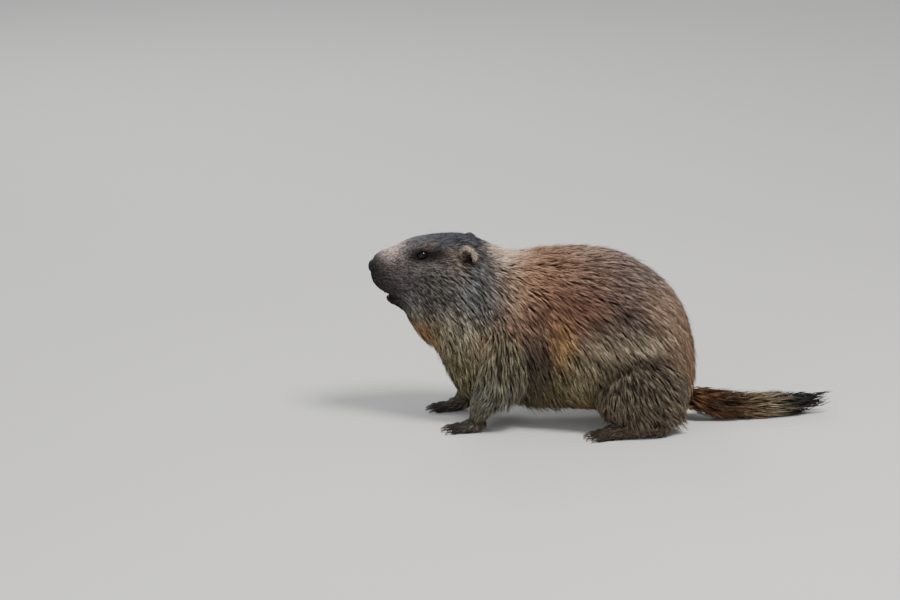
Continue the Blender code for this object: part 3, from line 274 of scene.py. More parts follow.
# The coat at named places of the trunk: centre (x, distance from the midline, z) and reach of the place in
# mm, then the hair's length, rise and tuft width in mm, its slope below level in degrees, and its light and
# dark tone. The columns are those of every table of such values.
LENGTH, RISE, WIDTH, SLOPE = range(4)
LIGHT, DARK = slice(4, 7), slice(7, 10)
COAT_PLACES = {
    "nose end": ((-288, 0, 205), (11, 16, 14), (3.5, 0.6, 0.70, 0), (47, 44, 46), (12, 11, 13)),
    "muzzle bridge": ((-267, 4, 230), (14, 15, 9), (5, 1.0, 0.75, 4), (222, 204, 198), (112, 98, 92)),
    "muzzle side": ((-262, 24, 202), (14, 14, 14), (5.5, 1.0, 0.75, 8), (107, 100, 98), (37, 34, 36)),
    "upper lip": ((-276, 14, 184), (14, 14, 8), (4.5, 0.7, 0.70, 11), (52, 49, 49), (15, 13, 15)),
    "lower lip": ((-266, 12, 166), (12, 12, 4), (4, 0.6, 0.70, -9), (34, 31, 31), (9, 8, 9)),
    "chin": ((-262, 4, 157), (14, 16, 9), (6, 1.0, 0.75, 6), (38, 35, 34), (10, 9, 10)),
    "forehead": ((-234, 8, 246), (16, 22, 8), (8, 1.8, 0.80, 4), (108, 108, 113), (55, 53, 57)),
    "brow": ((-229, 33, 242), (11, 8, 3.6), (7, 1.6, 0.78, 6), (186, 160, 138), (98, 82, 72)),
    "eye corner": ((-240, 31, 228.6), (7.5, 8, 4.2), (4, 0.8, 0.70, 10), (17, 15, 15), (5, 4, 4)),
    "before the eye": ((-253, 26, 231), (7.5, 8, 8), (5, 1.1, 0.76, 4), (112, 106, 104), (50, 47, 47)),
    "cheekbone": ((-236, 36, 214), (10, 12, 7), (7, 1.4, 0.78, 10), (122, 116, 113), (46, 43, 43)),
    "round the eye": ((-226, 34, 231), (9.8, 9, 5.1), (3.5, 0.6, 0.70, 4), (14, 12, 12), (4, 3, 3)),
    "eye streak": ((-212, 40, 232.6), (7, 10, 3.3), (7, 1.3, 0.78, 8), (24, 21, 20), (8, 7, 7)),
    "temple": ((-192, 46, 239), (13, 10, 8), (10, 2.2, 0.86, 8), (152, 138, 128), (52, 46, 42)),
    "under the eye": ((-209, 46, 219), (15, 14, 6.5), (9, 1.8, 0.82, 14), (120, 114, 110), (42, 39, 38)),
    "crown": ((-188, 8, 251), (24, 30, 12), (12, 2.8, 1.00, 5), (85, 86, 93), (40, 40, 45)),
    "cheek": ((-212, 46, 184), (20, 18, 16), (13, 3.0, 1.05, 30), (108, 102, 97), (28, 26, 26)),
    "jaw": ((-238, 30, 163), (17, 20, 11), (12, 2.6, 1.00, 34), (160, 162, 156), (48, 48, 47)),
    "throat side": ((-226, 26, 144), (15, 14, 14), (18, 4.2, 1.30, 50), (146, 120, 88), (46, 34, 23)),
    "before the ear": ((-183, 48, 228), (9, 12, 12), (14, 3.6, 1.00, 10), (140, 122, 104), (56, 47, 41)),
    "behind the ear": ((-156, 44, 226), (10, 16, 12), (14, 3.6, 1.10, 34), (92, 90, 92), (32, 31, 33)),
    "neck side": ((-152, 56, 196), (22, 24, 26), (20, 4.8, 1.35, 50), (139, 144, 147), (36, 38, 39)),
    "dark neck": ((-142, 58, 182), (14, 18, 20), (20, 4.8, 1.35, 52), (92, 89, 90), (24, 23, 24)),
    "low neck": ((-186, 44, 140), (20, 24, 20), (20, 4.6, 1.35, 58), (176, 167, 148), (55, 49, 44)),
    "shoulder point": ((-147, 62, 130), (15, 18, 13), (24, 5.6, 1.50, 60), (214, 184, 148), (80, 62, 47)),
    "nape": ((-127, 8, 230), (15, 30, 13), (22, 5.2, 1.40, 14), (255, 240, 217), (200, 168, 144)),
    "throat": ((-228, 0, 126), (18, 24, 14), (20, 4.6, 1.40, 52), (175, 132, 90), (70, 45, 27)),
    # painted shade: the chest's front is darkened as if it were turned away from the light
    "shaded chest front": ((-198, 22, 106), (15, 20, 16), (24, 5.6, 1.50, 70), (128, 119, 93), (42, 36, 27)),
    "chest": ((-178, 28, 84), (30, 34, 34), (26, 6.0, 1.60, 84), (163, 154, 121), (56, 49, 37)),
    "upper shoulder": ((-118, 52, 190), (20, 24, 20), (24, 5.6, 1.45, 38), (219, 180, 147), (102, 75, 60)),
    "shoulder": ((-112, 70, 148), (20, 24, 22), (25, 5.8, 1.50, 58), (156, 124, 104), (58, 40, 36)),
    # painted shade: this row and the next darken the gap behind the elbow
    "shade behind the elbow": ((-77, 84, 114), (14, 30, 24), (26, 5.6, 1.55, 66), (77, 70, 61), (20, 17, 16)),
    "elbow shade": ((-101, 74, 88), (9, 20, 14), (26, 5.6, 1.55, 72), (80, 74, 62), (22, 19, 16)),
    "golden streaks": ((-57, 88, 134), (11, 30, 20), (28, 6.4, 1.60, 60), (222, 177, 122), (76, 48, 30)),
    "straw flank": ((-40, 86, 82), (24, 30, 20), (27, 6.2, 1.60, 66), (156, 145, 111), (54, 44, 32)),
    "grey flank": ((-12, 90, 118), (18, 24, 18), (27, 6.0, 1.50, 54), (158, 145, 122), (56, 47, 38)),
    # belly fringe: its own tone, darkened partly by painted shade under the body
    "belly fringe": ((-96, 64, 44), (32, 26, 18), (30, 6.0, 1.60, 80), (102, 96, 76), (30, 27, 21)),
    "belly": ((-20, 0, 26), (90, 50, 16), (22, 4.0, 1.60, 8), (176, 138, 86), (78, 56, 34)),
    "front back": ((-66, 30, 222), (38, 34, 20), (26, 5.8, 1.45, 20), (173, 138, 113), (87, 56, 40)),
    "red saddle": ((-44, 66, 180), (34, 24, 24), (27, 6.0, 1.45, 36), (135, 102, 84), (61, 38, 31)),
    "mid back": ((-8, 40, 208), (32, 30, 16), (27, 6.0, 1.45, 28), (141, 116, 104), (57, 40, 34)),
    # painted light: the ridge of the back is paler as if lit from above
    "lit back ridge": ((2, 0, 230), (56, 24, 8), (26, 6.0, 1.45, 22), (182, 160, 148), (76, 60, 54)),
    "rear back": ((44, 24, 220), (42, 40, 22), (27, 6.0, 1.45, 24), (160, 146, 137), (64, 52, 48)),
    "dark flank": ((32, 84, 156), (26, 24, 20), (27, 6.0, 1.50, 46), (111, 98, 90), (36, 29, 27)),
    "rump side": ((72, 68, 184), (17, 26, 20), (26, 6.0, 1.50, 46), (200, 168, 144), (80, 60, 50)),
    "above the thigh": ((34, 88, 132), (27, 24, 12), (26, 6.0, 1.50, 50), (223, 207, 178), (88, 77, 63)),
    # painted shadow: the crease over the top of the thigh is darkened
    "shaded crease over the thigh": ((54, 90, 110), (22, 20, 8), (23, 5.4, 1.50, 60), (86, 75, 63), (22, 18, 15)),
    "before the thigh": ((14, 88, 88), (13, 20, 20), (24, 5.4, 1.50, 64), (86, 76, 63), (22, 18, 15)),
    "rump": ((104, 30, 150), (22, 50, 44), (26, 6.0, 1.50, 56), (174, 149, 127), (74, 57, 48)),
    "seat": ((118, 12, 84), (18, 44, 36), (26, 5.6, 1.50, 82), (166, 134, 102), (68, 48, 36)),
}

# The coat along each limb and the tail, from root to end: share of the length, then the values as above
# without a slope, because the hair follows the limb.
COAT_ALONG = {
    "tail": (
        (0.00, (26, 5.4, 1.60), (92, 62, 42), (26, 16, 11)),
        (0.20, (30, 6.0, 1.65), (108, 74, 48), (31, 20, 13)),
        (0.38, (34, 6.6, 1.70), (90, 65, 46), (20, 14, 10)),
        (0.50, (36, 7.0, 1.70), (128, 106, 80), (28, 22, 17)),
        (0.62, (36, 7.0, 1.70), (172, 155, 127), (34, 28, 23)),
        (0.75, (38, 7.0, 1.70), (104, 94, 78), (24, 20, 17)),
        (0.84, (37, 5.6, 1.70), (42, 38, 34), (11, 10, 9)),
        (1.00, (35, 3.2, 1.70), (30, 28, 25), (7, 7, 7)),
    ),
    "fore leg": (
        (0.00, (28, 6.4, 1.60), (150, 137, 110), (42, 37, 29)),
        (0.42, (29, 6.0, 1.55), (142, 136, 114), (40, 38, 31)),
        (0.62, (21, 4.0, 1.36), (138, 137, 121), (41, 40, 35)),
        (0.82, (11, 2.0, 1.00), (128, 124, 108), (42, 40, 35)),
        (1.00, (7, 1.2, 0.90), (104, 99, 87), (36, 34, 30)),
    ),
    "hind leg": (
        (0.00, (24, 5.2, 1.50), (142, 126, 108), (48, 40, 34)),
        (0.50, (23, 4.8, 1.45), (121, 109, 93), (33, 29, 25)),
        (1.00, (20, 4.0, 1.35), (124, 111, 92), (35, 31, 26)),
    ),
    "paw": (
        (0.00, (8, 1.3, 0.88), (102, 96, 85), (36, 33, 29)),
        (1.00, (5.6, 0.8, 0.78), (86, 80, 72), (29, 26, 24)),
        (2.00, (3.6, 0.6, 0.66), (60, 55, 51), (19, 17, 16)),
    ),
    "foot": (
        (0.00, (10, 1.8, 0.95), (108, 96, 80), (38, 32, 27)),
        (1.00, (6.5, 1.0, 0.82), (92, 82, 70), (31, 27, 24)),
        (2.00, (3.6, 0.6, 0.66), (66, 59, 53), (21, 19, 18)),
    ),
}

# Scene colours of bare skin: round the eyes, inside the mouth and on the soles
EYE_RIM_TONE = (0.0045, 0.0038, 0.0036)
MOUTH_TONE = (0.013, 0.0065, 0.006)
SOLE_TONE = (0.020, 0.017, 0.016)

# Tufts: how many grow from one clump, the rings of each as shares of its length, the share of its width at
# each ring, and the share of the distance between tufts that is left at their tips
LONG_TUFTS = {"tufts": 5, "rings": (0.0, 0.50), "widths": (0.85, 1.00), "gather": 0.38}
SHORT_TUFTS = {"tufts": 4, "rings": (0.0, 0.50), "widths": (0.90, 1.00), "gather": 0.62}
SHORT_BELOW = 0.0092

# Growth: ranges of the random scales of a tuft, the turn of the lie in swirls and at random, the spread of a
# clump by its gap and its tuft's width, and the cubic's inner points as shares of the length and of the rise
LENGTH_RANGE = (0.82, 1.16)
RISE_RANGE = (0.75, 1.25)
WIDTH_RANGE = (0.75, 1.25)
REACH_RANGE = (0.66, 1.12)
SWIRL = 0.16
STRAY_TURN = 0.10
GAP_SPREAD = 0.42
WIDTH_SPREAD = 0.25
STRAY_SIDEWAYS = 0.40
STRAY_LIFT = 0.34
STRAY_BEND = 0.05
ROLL = 0.50
ARC_SHARES = (0.26, 0.34)
ARC_RISES = (0.85, 0.10)

# Tone of a clump between its dark and light: middle, swing of the mottling, stray and fleck of single tufts.
# Each pair is the body's value and what the head adds.
TONE_MIDDLE = 0.46
TONE_SWING = (0.17, 0.13)
TONE_STRAY = (0.19, 0.19)
TONE_FLECK = (0.18, 0.12)
TICKED = 0.22
TUFT_THICKNESS = 0.34
TUFT_SUNK = 0.0009
PATCH_ON_UNWRAP = 0.003
POLE = 0.02
CORNEA = 0.05
CORNEA_TILT = 0.55
BEHIND_LIDS = 0.25
LID_REACH = 1.55
SLIT_LONG = 0.0065
SLIT_POINT = 0.0020
SLIT_HIGH = (0.0038, 0.0032)
EAR_CLUMPS = 1500
HEAD_ENDS = -0.1450
HEAD_FADES = 0.04
HOME_SPREAD = 0.9
PAD_CENTRE = (-0.2640, 0.0260, 0.1960)
PAD_REACH = (0.0110, 0.0140, 0.0090)
PAD_ROW = 0.0044
PAD_CONTRAST = 0.42
PIECE_LIMIT = 190000
NECK_FROM = -0.150
BODY_FROM = -0.085
RUMP_FROM = 0.030
TIP_PULL = 0.0060
SPARSE_UNDER = 0.45
SPARSE_INNER = 0.35
SPARSE_LEGS = 1.35
DENSE_ROUND_EYE = 0.35
SKIRT_CENTRE = (-0.1050, 0.0620, 0.0480)
SKIRT_REACH = (0.0320, 0.0300, 0.0240)
HANG_AT_ELBOW = 0.55
HANG_BELOW = 0.22
HANG_LENGTHS = (0.016, 0.022)
HANG_AT_TAIL = 0.96
HANG_RUN = 0.016
TAIL_END = 0.2720
BRUSH_TIP = (0.3300, 0.0445, 0.0270)
BRUSH_RUN = 0.030

# The lie of the hair: it parts at the nose, falls down the thighs, arms and heels, and is eased over the skin
PARTING = (-0.300, 0.0, 0.207)
PARTING_STRETCH = (1.0, 1.6, 1.6)
PARTING_RUN = (0.268, 0.292)
THIGH_RUN = (0.0, 0.11)
THIGH_FALL = -1.1
ARM_LIE = (0.12, 0.0, -1.0)
ARM_RUN = (0.66, 0.44)
ARM_BEHIND_RUN = (0.92, 0.72)
STRAIGHT_DOWN = (0.0, 0.0, -1.0)
LIE_PASSES = 18
LIE_KEPT = 0.3


# Stage: the floor's bend and curve, the camera's sensor and how far it sees
FLOOR_BEND = 4.0
FLOOR_CURVE = 0.35
SENSOR_MM = 36.0
VIEW_ENDS = 50.0


class MarmotCoatSettings(bpy.types.PropertyGroup):
    """Sizes and tones of the skin and the coat."""
    voxel: bpy.props.FloatProperty(
        name="Skin grain", description="Edge of the skin's faces", default=0.0020, min=0.001, unit="LENGTH")
    spacing: bpy.props.FloatProperty(
        name="Clump spacing", description="Distance between clumps of hair of no length", default=0.00078,
        unit="LENGTH")
    spacing_growth: bpy.props.FloatProperty(
        name="Spacing growth", description="Share of the hair's length that is added to the spacing",
        default=0.104, subtype="FACTOR")
    length: bpy.props.FloatProperty(
        name="Length", description="Scales the length of all hair", default=1.0, subtype="FACTOR")
    rise: bpy.props.FloatProperty(
        name="Rise", description="Scales how far hair stands off the skin", default=1.0, subtype="FACTOR")
    width: bpy.props.FloatProperty(
        name="Tuft width", description="Scales the width of each tuft", default=0.64, subtype="FACTOR")
    light: bpy.props.FloatProperty(
        name="Light gain", description="Scales the tones of the coat", default=1.35, subtype="FACTOR")
    seed: bpy.props.IntProperty(name="Seed", description="Start of every random draw", default=5)


class MarmotFaceSettings(bpy.types.PropertyGroup):
    """Sizes and colours of the eyes, nose, mouth, ears, whiskers and claws."""
    eye_radius: bpy.props.FloatProperty(
        name="Eye radius", description="Radius of the eyeball", default=0.0072, unit="LENGTH")
    iris: bpy.props.FloatVectorProperty(
        name="Iris", description="Colour of the iris", default=(0.008, 0.0045, 0.003), subtype="COLOR")
    leather: bpy.props.FloatVectorProperty(
        name="Nose leather", description="Colour of the nose, lids and lips", default=(0.0085, 0.0075, 0.008),
        subtype="COLOR")
    enamel: bpy.props.FloatVectorProperty(
        name="Enamel", description="Colour of the front of the incisors", default=(0.50, 0.17, 0.030),
        subtype="COLOR")
    horn: bpy.props.FloatVectorProperty(
        name="Claw horn", description="Colour of the claws", default=(0.030, 0.024, 0.020), subtype="COLOR")
    whiskers: bpy.props.IntProperty(
        name="Whiskers", description="Whiskers on each side of the muzzle", default=14)


class MarmotStageSettings(bpy.types.PropertyGroup):
    """Floor, light and camera."""
    floor: bpy.props.FloatVectorProperty(
        name="Floor", description="Colour of the floor", default=(0.62, 0.61, 0.59), subtype="COLOR")
    key: bpy.props.FloatProperty(
        name="Key light", description="Power of the large light above", default=95.0, unit="POWER")
    fill: bpy.props.FloatProperty(
        name="Fill light", description="Power of the light beside the camera", default=26.0, unit="POWER")
    sky: bpy.props.FloatProperty(name="Sky", description="Strength of the light all round", default=0.55)
    distance: bpy.props.FloatProperty(
        name="Camera distance", description="From the camera to the middle of its view", default=6.0,
        unit="LENGTH")
    elevation: bpy.props.FloatProperty(
        name="Camera elevation", description="Angle of the view above level", default=math.radians(15),
        subtype="ANGLE")
    view_width: bpy.props.FloatProperty(
        name="View width", description="Width of the view at its middle", default=1.17, unit="LENGTH")
    target: bpy.props.FloatVectorProperty(
        name="View middle", description="Point in the middle of the view", default=(-0.1911, 0.0, 0.1629),
        subtype="TRANSLATION")


def curve_through(points, places):
    """Smooth curve through (place, value) points: cubics whose slopes, harmonic means, don't overshoot."""
    known, values = np.array(points, float).T
    step = np.diff(known)
    slope = np.diff(values) / step
    before, after = slope[:-1], slope[1:]
    total = np.where(before + after == 0.0, 1.0, before + after)
    inner = np.where(before * after > 0.0, 2.0 * before * after / total, 0.0)
    tangent = np.concatenate(((slope[0],), inner, (slope[-1],)))
    places = np.clip(places, known[0], known[-1])
    i = np.clip(np.searchsorted(known, places, side="right") - 1, 0, len(step) - 1)
    t = (places - known[i]) / step[i]
    return (
        (2 * t**3 - 3 * t**2 + 1) * values[i]
        + (t**3 - 2 * t**2 + t) * step[i] * tangent[i]
        + (3 * t**2 - 2 * t**3) * values[i + 1]
        + (t**3 - t**2) * step[i] * tangent[i + 1]
    )


def signed_power(value, power):
    return np.sign(value) * np.abs(value) ** power


def ease(value, start, end):
    """0 up to the start, 1 from the end on, and 3 t squared less 2 t cubed between them."""
    t = np.clip((value - start) / (end - start), 0.0, 1.0)
    return t * t * (3 - 2 * t)


def unit(vectors):
    return vectors / (np.linalg.norm(vectors, axis=-1, keepdims=True) + 1e-12)


def blend(first, second, share):
    """The first value at a share of nought, the second at one."""
    return first * (1 - share) + second * share


def turns(count):
    """Angles spaced evenly round a full circle."""
    return np.arange(count) * 2 * math.pi / count


def turned(x, y, angle):
    """Two coordinates turned by an angle in their plane."""
    return x * math.cos(angle) - y * math.sin(angle), x * math.sin(angle) + y * math.cos(angle)


def run_along(line):
    """Distance along a line from its first point to each of its points."""
    return np.concatenate(((0.0,), np.cumsum(np.linalg.norm(np.diff(line, axis=0), axis=1))))


def columns_at(places, known, table):
    """Each column of a table, read between its known places by straight lines."""
    return np.stack([np.interp(places, known, column) for column in table.T], axis=-1)


def strided_draws(weights, count, random):
    """Indices drawn by weight: evenly strided along the running sum, each moved at random in its stride."""
    running = np.cumsum(weights)
    draws = (np.arange(count) + random.random(count)) * running[-1] / count
    return np.minimum(np.searchsorted(running, draws), len(running) - 1)


def folded(points):
    """Points of both flanks as (x, distance from the midline, z)."""
    return np.stack((points[..., 0], np.abs(points[..., 1]), points[..., 2]), axis=-1)


def distance_to(points, centre):
    """Distance to the nearer of a centre's two places, one on each flank."""
    return np.linalg.norm(folded(points) - np.array(centre), axis=-1)


def squared_reaches(points, centre, reach):
    """Squared distance to the nearer of a centre's two places, with each axis measured in its own reach."""
    return np.sum(((folded(points) - np.array(centre)) / np.array(reach)) ** 2, axis=-1)


def linear(tones):
    """Display tones from 0 to 255 as scene colour: the display's power curve undone."""
    return (np.asarray(tones, float) / 255.0) ** 2.2


def grid_normals(grid):
    """Outward unit normals of a grid of closed rings: the cross product of the steps round and along it."""
    along = np.gradient(grid, axis=0)
    round_ring = np.roll(grid, -1, axis=1) - np.roll(grid, 1, axis=1)
    normal = np.cross(round_ring, along)
    outward = np.sign(np.sum(normal * (grid - grid.mean(axis=1, keepdims=True))))
    return unit(normal * outward)


def trunk_surface(stations, angles, depth=1.0):
    """The trunk at (share of length, angle): two half superellipses a ring, with swellings, less the coat.

    Across: half width times cos(angle) to the power 2 / bluntness. Up or down from the widest height: the
    reach to the top or bottom line times sin(angle) to the same power. Swellings add
    height * exp(-(distance / reach)^2) along the normal, and the coat's depth is taken off along it.
    """
    share = np.asarray(stations, float)[:, None]
    angle = np.asarray(angles, float)[None, :]
    top = curve_through(TOP_LINE, share) * BACK_HEIGHT
    bottom = curve_through(BOTTOM_LINE, share) * BACK_HEIGHT
    middle = curve_through(WIDEST_AT, share) * BACK_HEIGHT
    half = curve_through(HALF_WIDTH, share) * BODY_WIDTH / 2
    above = np.sin(angle) >= 0
    bluntness = np.where(above, curve_through(BLUNTNESS_ABOVE, share), curve_through(BLUNTNESS_BELOW, share))
    reach = np.where(above, top - middle, middle - bottom)
    y = half * signed_power(np.cos(angle), 2 / bluntness)
    z = middle + reach * signed_power(np.sin(angle), 2 / bluntness)
    x = np.broadcast_to(share * BODY_LENGTH - ORIGIN_FROM_NOSE, y.shape)
    grid = np.stack((x, y, z), axis=-1)
    height = -depth * np.broadcast_to(curve_through(COAT_DEPTH, share), y.shape)
    height = height * (1 - THIN_ROUND_EYE * np.exp(-((distance_to(grid, EYE_CENTRE) / THIN_REACH) ** 2)))
    for centre, bell, rise in SWELLINGS.values():
        height = height + rise * np.exp(-((distance_to(grid, centre) / bell) ** 2))
    return grid + grid_normals(grid) * height[..., None]


def lip_gap(points):
    """How far a point lies inside the gap between the lips: the lesser distance to the two lip planes."""
    ahead = MOUTH_CORNER[0] - points[..., 0]
    upper = MOUTH_CORNER[1] + ahead * UPPER_LIP_SLOPE
    lower = MOUTH_CORNER[1] - ahead * LOWER_LIP_SLOPE
    return np.minimum(upper - points[..., 2], points[..., 2] - lower) * (ahead > 0)


def with_mouth(grid):
    """The grid pushed inwards between the lips, deeper away from their edges and the mouth's corner."""
    ahead = MOUTH_CORNER[0] - grid[..., 0]
    depth = MOUTH_DEPTH * ease(lip_gap(grid), 0.0, MOUTH_EDGE) * ease(ahead, 0.0, MOUTH_RUN)
    return grid - grid_normals(grid) * depth[..., None]


def line_of(points, side=1, reach=0.0, inward=0.0):
    """Centres and radii of a limb's line on one side, moved by a growing share of the reach and the shift."""
    centres = np.array([centre for centre, _ in points], float)
    radii = np.array([radius for _, radius in points], float)
    share = np.linspace(0.0, 1.0, len(points))
    across = side * (centres[:, 1] + inward * share)
    return np.stack((centres[:, 0] + reach * share, across, centres[:, 2]), axis=-1), radii


def domed(centres, radii):
    """A line with a point of less than half the radius past each end, so that its tube closes in a dome."""
    before = centres[0] + unit(centres[0] - centres[1]) * radii[0].min() * DOME_REACH
    after = centres[-1] + unit(centres[-1] - centres[-2]) * radii[-1].min() * DOME_REACH
    centres = np.concatenate((before[None], centres, after[None]))
    return centres, np.concatenate((radii[:1] * DOME_RADIUS, radii, radii[-1:] * DOME_RADIUS))


def tube(centres, radii, sides, rings):
    """An ellipse carried along a line: centre + across * cos(angle) * width + up * sin(angle) * height."""
    chord = run_along(centres)
    places = np.linspace(0.0, chord[-1], rings)
    middle = np.stack([curve_through(np.column_stack((chord, column)), places) for column in centres.T], -1)
    width = np.stack([curve_through(np.column_stack((chord, column)), places) for column in radii.T], -1)
    forward = unit(np.gradient(middle, axis=0))
    sideways = np.array((0.0, 1.0, 0.0))
    across = unit(sideways - forward * (forward @ sideways)[:, None])
    upward = np.cross(across, forward)
    angle = turns(sides)
    return (
        middle[:, None]
        + across[:, None] * (np.cos(angle)[None, :, None] * width[:, None, :1])
        + upward[:, None] * (np.sin(angle)[None, :, None] * width[:, None, 1:])
    )


def foot_place(anchor, side, splay):
    """A function that puts points of a foot on its side: mirrored, turned about Z and moved to the anchor."""
    turn = -side * splay

    def placed(points):
        x, y, z = np.moveaxis(np.asarray(points, float), -1, 0)
        y = side * y
        return np.stack((
            anchor[0] + x * math.cos(turn) - y * math.sin(turn),
            side * anchor[1] + x * math.sin(turn) + y * math.cos(turn),
            z,
        ), axis=-1)
    return placed


def toe_points(front, offset, degrees, length):
    """Root, knuckle and pad of a toe that heads away at the angle, and its heading."""
    heading = math.radians(degrees)
    away = np.array((-math.cos(heading), math.sin(heading), 0.0))
    base = np.array((front + TOE_SUNK, offset, TOE_RADIUS * TOE_HEIGHT))
    knuckle = base + away * length * 0.45 + np.array((0, 0, TOE_KNUCKLE_RISE))
    return np.stack((base - away * TOE_ROOT, knuckle, base + away * length)), away


def fore_shift(side):
    """How far the fore limb on one side is moved along X, and away from the midline."""
    return (RIGHT_FORE_REACH, RIGHT_FORE_INWARD) if side > 0 else (0.0, 0.0)


def feet():
    """Every foot as (part name, sole, toes, placing function)."""
    for side, word in SIDES:
        reach, inward = fore_shift(side)
        wrist = (FORE_WRIST[0] + reach, FORE_WRIST[1] + inward)
        yield f"fore_paw_{word}", FORE_PALM, FORE_TOES, foot_place(wrist, side, 0.0)
        yield f"hind_foot_{word}", HIND_SOLE, HIND_TOES, foot_place(HIND_HEEL, side, HIND_FOOT_SPLAY)


def skin_sources():
    """The skin's forms before they are joined: (part, grid, places along it, places round it)."""
    def shares(grid, low=0.0, high=1.0, first=0.0, last=1.0):
        rings, sides = grid.shape[:2]
        return np.linspace(low, high, rings), first + (last - first) * np.arange(sides) / sides

    stations = np.concatenate((
        np.linspace(0.0, 0.13, 64, endpoint=False), np.linspace(0.13, 0.45, 90, endpoint=False),
        np.linspace(0.45, 1.0, 110)))
    angles = turns(TRUNK_SIDES)
    yield "trunk", with_mouth(trunk_surface(stations, angles)), stations, angles / (2 * math.pi)
    tail_line, tail_radii = line_of(TAIL_LINE)
    tail = tube(tail_line, tail_radii * TAIL_CORE, 36, 90)
    yield "tail", tail, *shares(tail)
    for side, word in SIDES:
        centres, radii = line_of(FORE_LIMB, side, *fore_shift(side))
        fore = tube(*domed(centres, radii - np.linspace(*FORE_COAT, len(radii))[:, None]), 40, 70)
        yield f"fore_leg_{word}", fore, *shares(fore)
        centres, radii = line_of(HIND_SHANK, side)
        hind = tube(*domed(centres, radii - HIND_COAT), 48, 70)
        yield f"hind_leg_{word}", hind, *shares(hind)
    for name, sole, toes, placed in feet():
        centres, radii = line_of(sole)
        form = tube(*domed(placed(centres), radii - SOLE_COAT), 30, 40)
        yield name, form, *shares(form)
        for index, (offset, degrees, length) in enumerate(toes.values()):
            points, _ = toe_points(sole[-1][0][0], offset, degrees, length)
            radii = TOE_RADIUS * np.array(TOE_TAPER)[:, None] * np.ones((1, 2)) - TOE_COAT
            toe = tube(*domed(placed(points), radii), 20, 24)
            yield name, toe, *shares(toe, 1.0, 2.0, index / len(toes), (index + 0.96) / len(toes))


def grid_quads(rings, sides, rings_close=False, sides_close=True):
    """Quads between neighbours in a grid of points, which may close on itself along and round."""
    ring, side = np.meshgrid(
        np.arange(rings - (not rings_close)), np.arange(sides - (not sides_close)), indexing="ij")
    next_ring, next_side = (ring + 1) % rings, (side + 1) % sides
    corners = ((ring, side), (ring, next_side), (next_ring, next_side), (next_ring, side))
    return np.stack([row * sides + column for row, column in corners], axis=-1).reshape(-1, 4)


def closed_faces(rings, sides, first=0):
    """Faces of a closed tube: quads between the rings, and a fan at each end to a hub after the rings."""
    quads = grid_quads(rings, sides)
    k = np.arange(sides)
    near = np.stack((k, np.full(sides, rings * sides), (k + 1) % sides), axis=-1)
    last = (rings - 1) * sides
    far = np.stack((last + (k + 1) % sides, np.full(sides, rings * sides + 1), last + k), axis=-1)
    return quads + first, np.concatenate((near, far)) + first


def closed_points(grid):
    """A tube's points and the hubs of its two ends, the middles of the end rings."""
    return np.concatenate((grid.reshape(-1, 3), grid[0].mean(axis=0)[None], grid[-1].mean(axis=0)[None]))


def mesh_of(name, points, quads, triangles=None):
    """A smooth mesh from arrays of points, quads and triangles."""
    triangles = np.zeros((0, 3), int) if triangles is None else triangles
    mesh = bpy.data.meshes.new(name)
    corners = np.concatenate((quads.ravel(), triangles.ravel()))
    starts = np.concatenate((np.arange(len(quads)) * 4, len(quads) * 4 + np.arange(len(triangles)) * 3))
    mesh.vertices.add(len(points))
    mesh.vertices.foreach_set("co", np.ascontiguousarray(points, np.float32).ravel())
    mesh.loops.add(len(corners))
    mesh.loops.foreach_set("vertex_index", corners.astype(np.int32))
    mesh.polygons.add(len(starts))
    mesh.polygons.foreach_set("loop_start", starts.astype(np.int32))
    mesh.update(calc_edges=True)
    mesh.shade_smooth()
    return mesh


def link_new(name, data):
    """A new object in the scene."""
    obj = bpy.data.objects.new(name, data)
    bpy.context.scene.collection.objects.link(obj)
    return obj


def add_piece(name, mesh, material, slot, nodes=()):
    """Puts a finished mesh in the scene as a piece that rides on the body and stands for its nodes."""
    obj = link_new(name, mesh)
    mesh.materials.append(material)
    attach(obj, "root")
    if nodes:
        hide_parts(*nodes)
    return obj


def add_tubes(name, grids, material, slot, nodes=(), attributes=None):
    """One piece of several closed tubes, turned so that their faces point outwards."""
    points, quads, triangles, first = [], [], [], 0
    for grid in grids:
        rings, sides = grid.shape[:2]
        all_points = closed_points(grid)
        grid_quads, grid_triangles = closed_faces(rings, sides, first)
        a, b, c, d = (all_points[grid_quads[:, k] - first] for k in range(4))
        volume = np.einsum("ij,ij->", a, np.cross(b, c)) + np.einsum("ij,ij->", a, np.cross(c, d))
        if volume < 0:
            grid_quads, grid_triangles = grid_quads[:, ::-1], grid_triangles[:, ::-1]
        points.append(all_points)
        quads.append(grid_quads)
        triangles.append(grid_triangles)
        first += len(all_points)
    points = np.concatenate(points)
    mesh = mesh_of(name, points, np.concatenate(quads), np.concatenate(triangles))
    for key, value in (attributes or {}).items():
        layer = mesh.attributes.new(key, "FLOAT", "POINT")
        layer.data.foreach_set("value", value(points).astype(np.float32))
    return add_piece(name, mesh, material, slot, nodes)


def neighbour_mean(values, edges):
    """Mean of each vertex's neighbours: each edge adds the value at either end to the other end's sum."""
    count = np.bincount(edges.ravel(), minlength=len(values))[:, None]
    total = np.stack([
        np.bincount(edges[:, 0], column[edges[:, 1]], len(values))
        + np.bincount(edges[:, 1], column[edges[:, 0]], len(values))
        for column in values.T], axis=-1)
    return total / np.maximum(count, 1)


def read_mesh(mesh):
    """Points, quads and edges of a mesh of quads as arrays."""
    points = np.empty(len(mesh.vertices) * 3, np.float32)
    mesh.vertices.foreach_get("co", points)
    quads = np.empty(len(mesh.loops), np.int32)
    mesh.loops.foreach_get("vertex_index", quads)
    edges = np.empty(len(mesh.edges) * 2, np.int32)
    mesh.edges.foreach_get("vertices", edges)
    return points.reshape(-1, 3).astype(float), quads.reshape(-1, 4), edges.reshape(-1, 2)


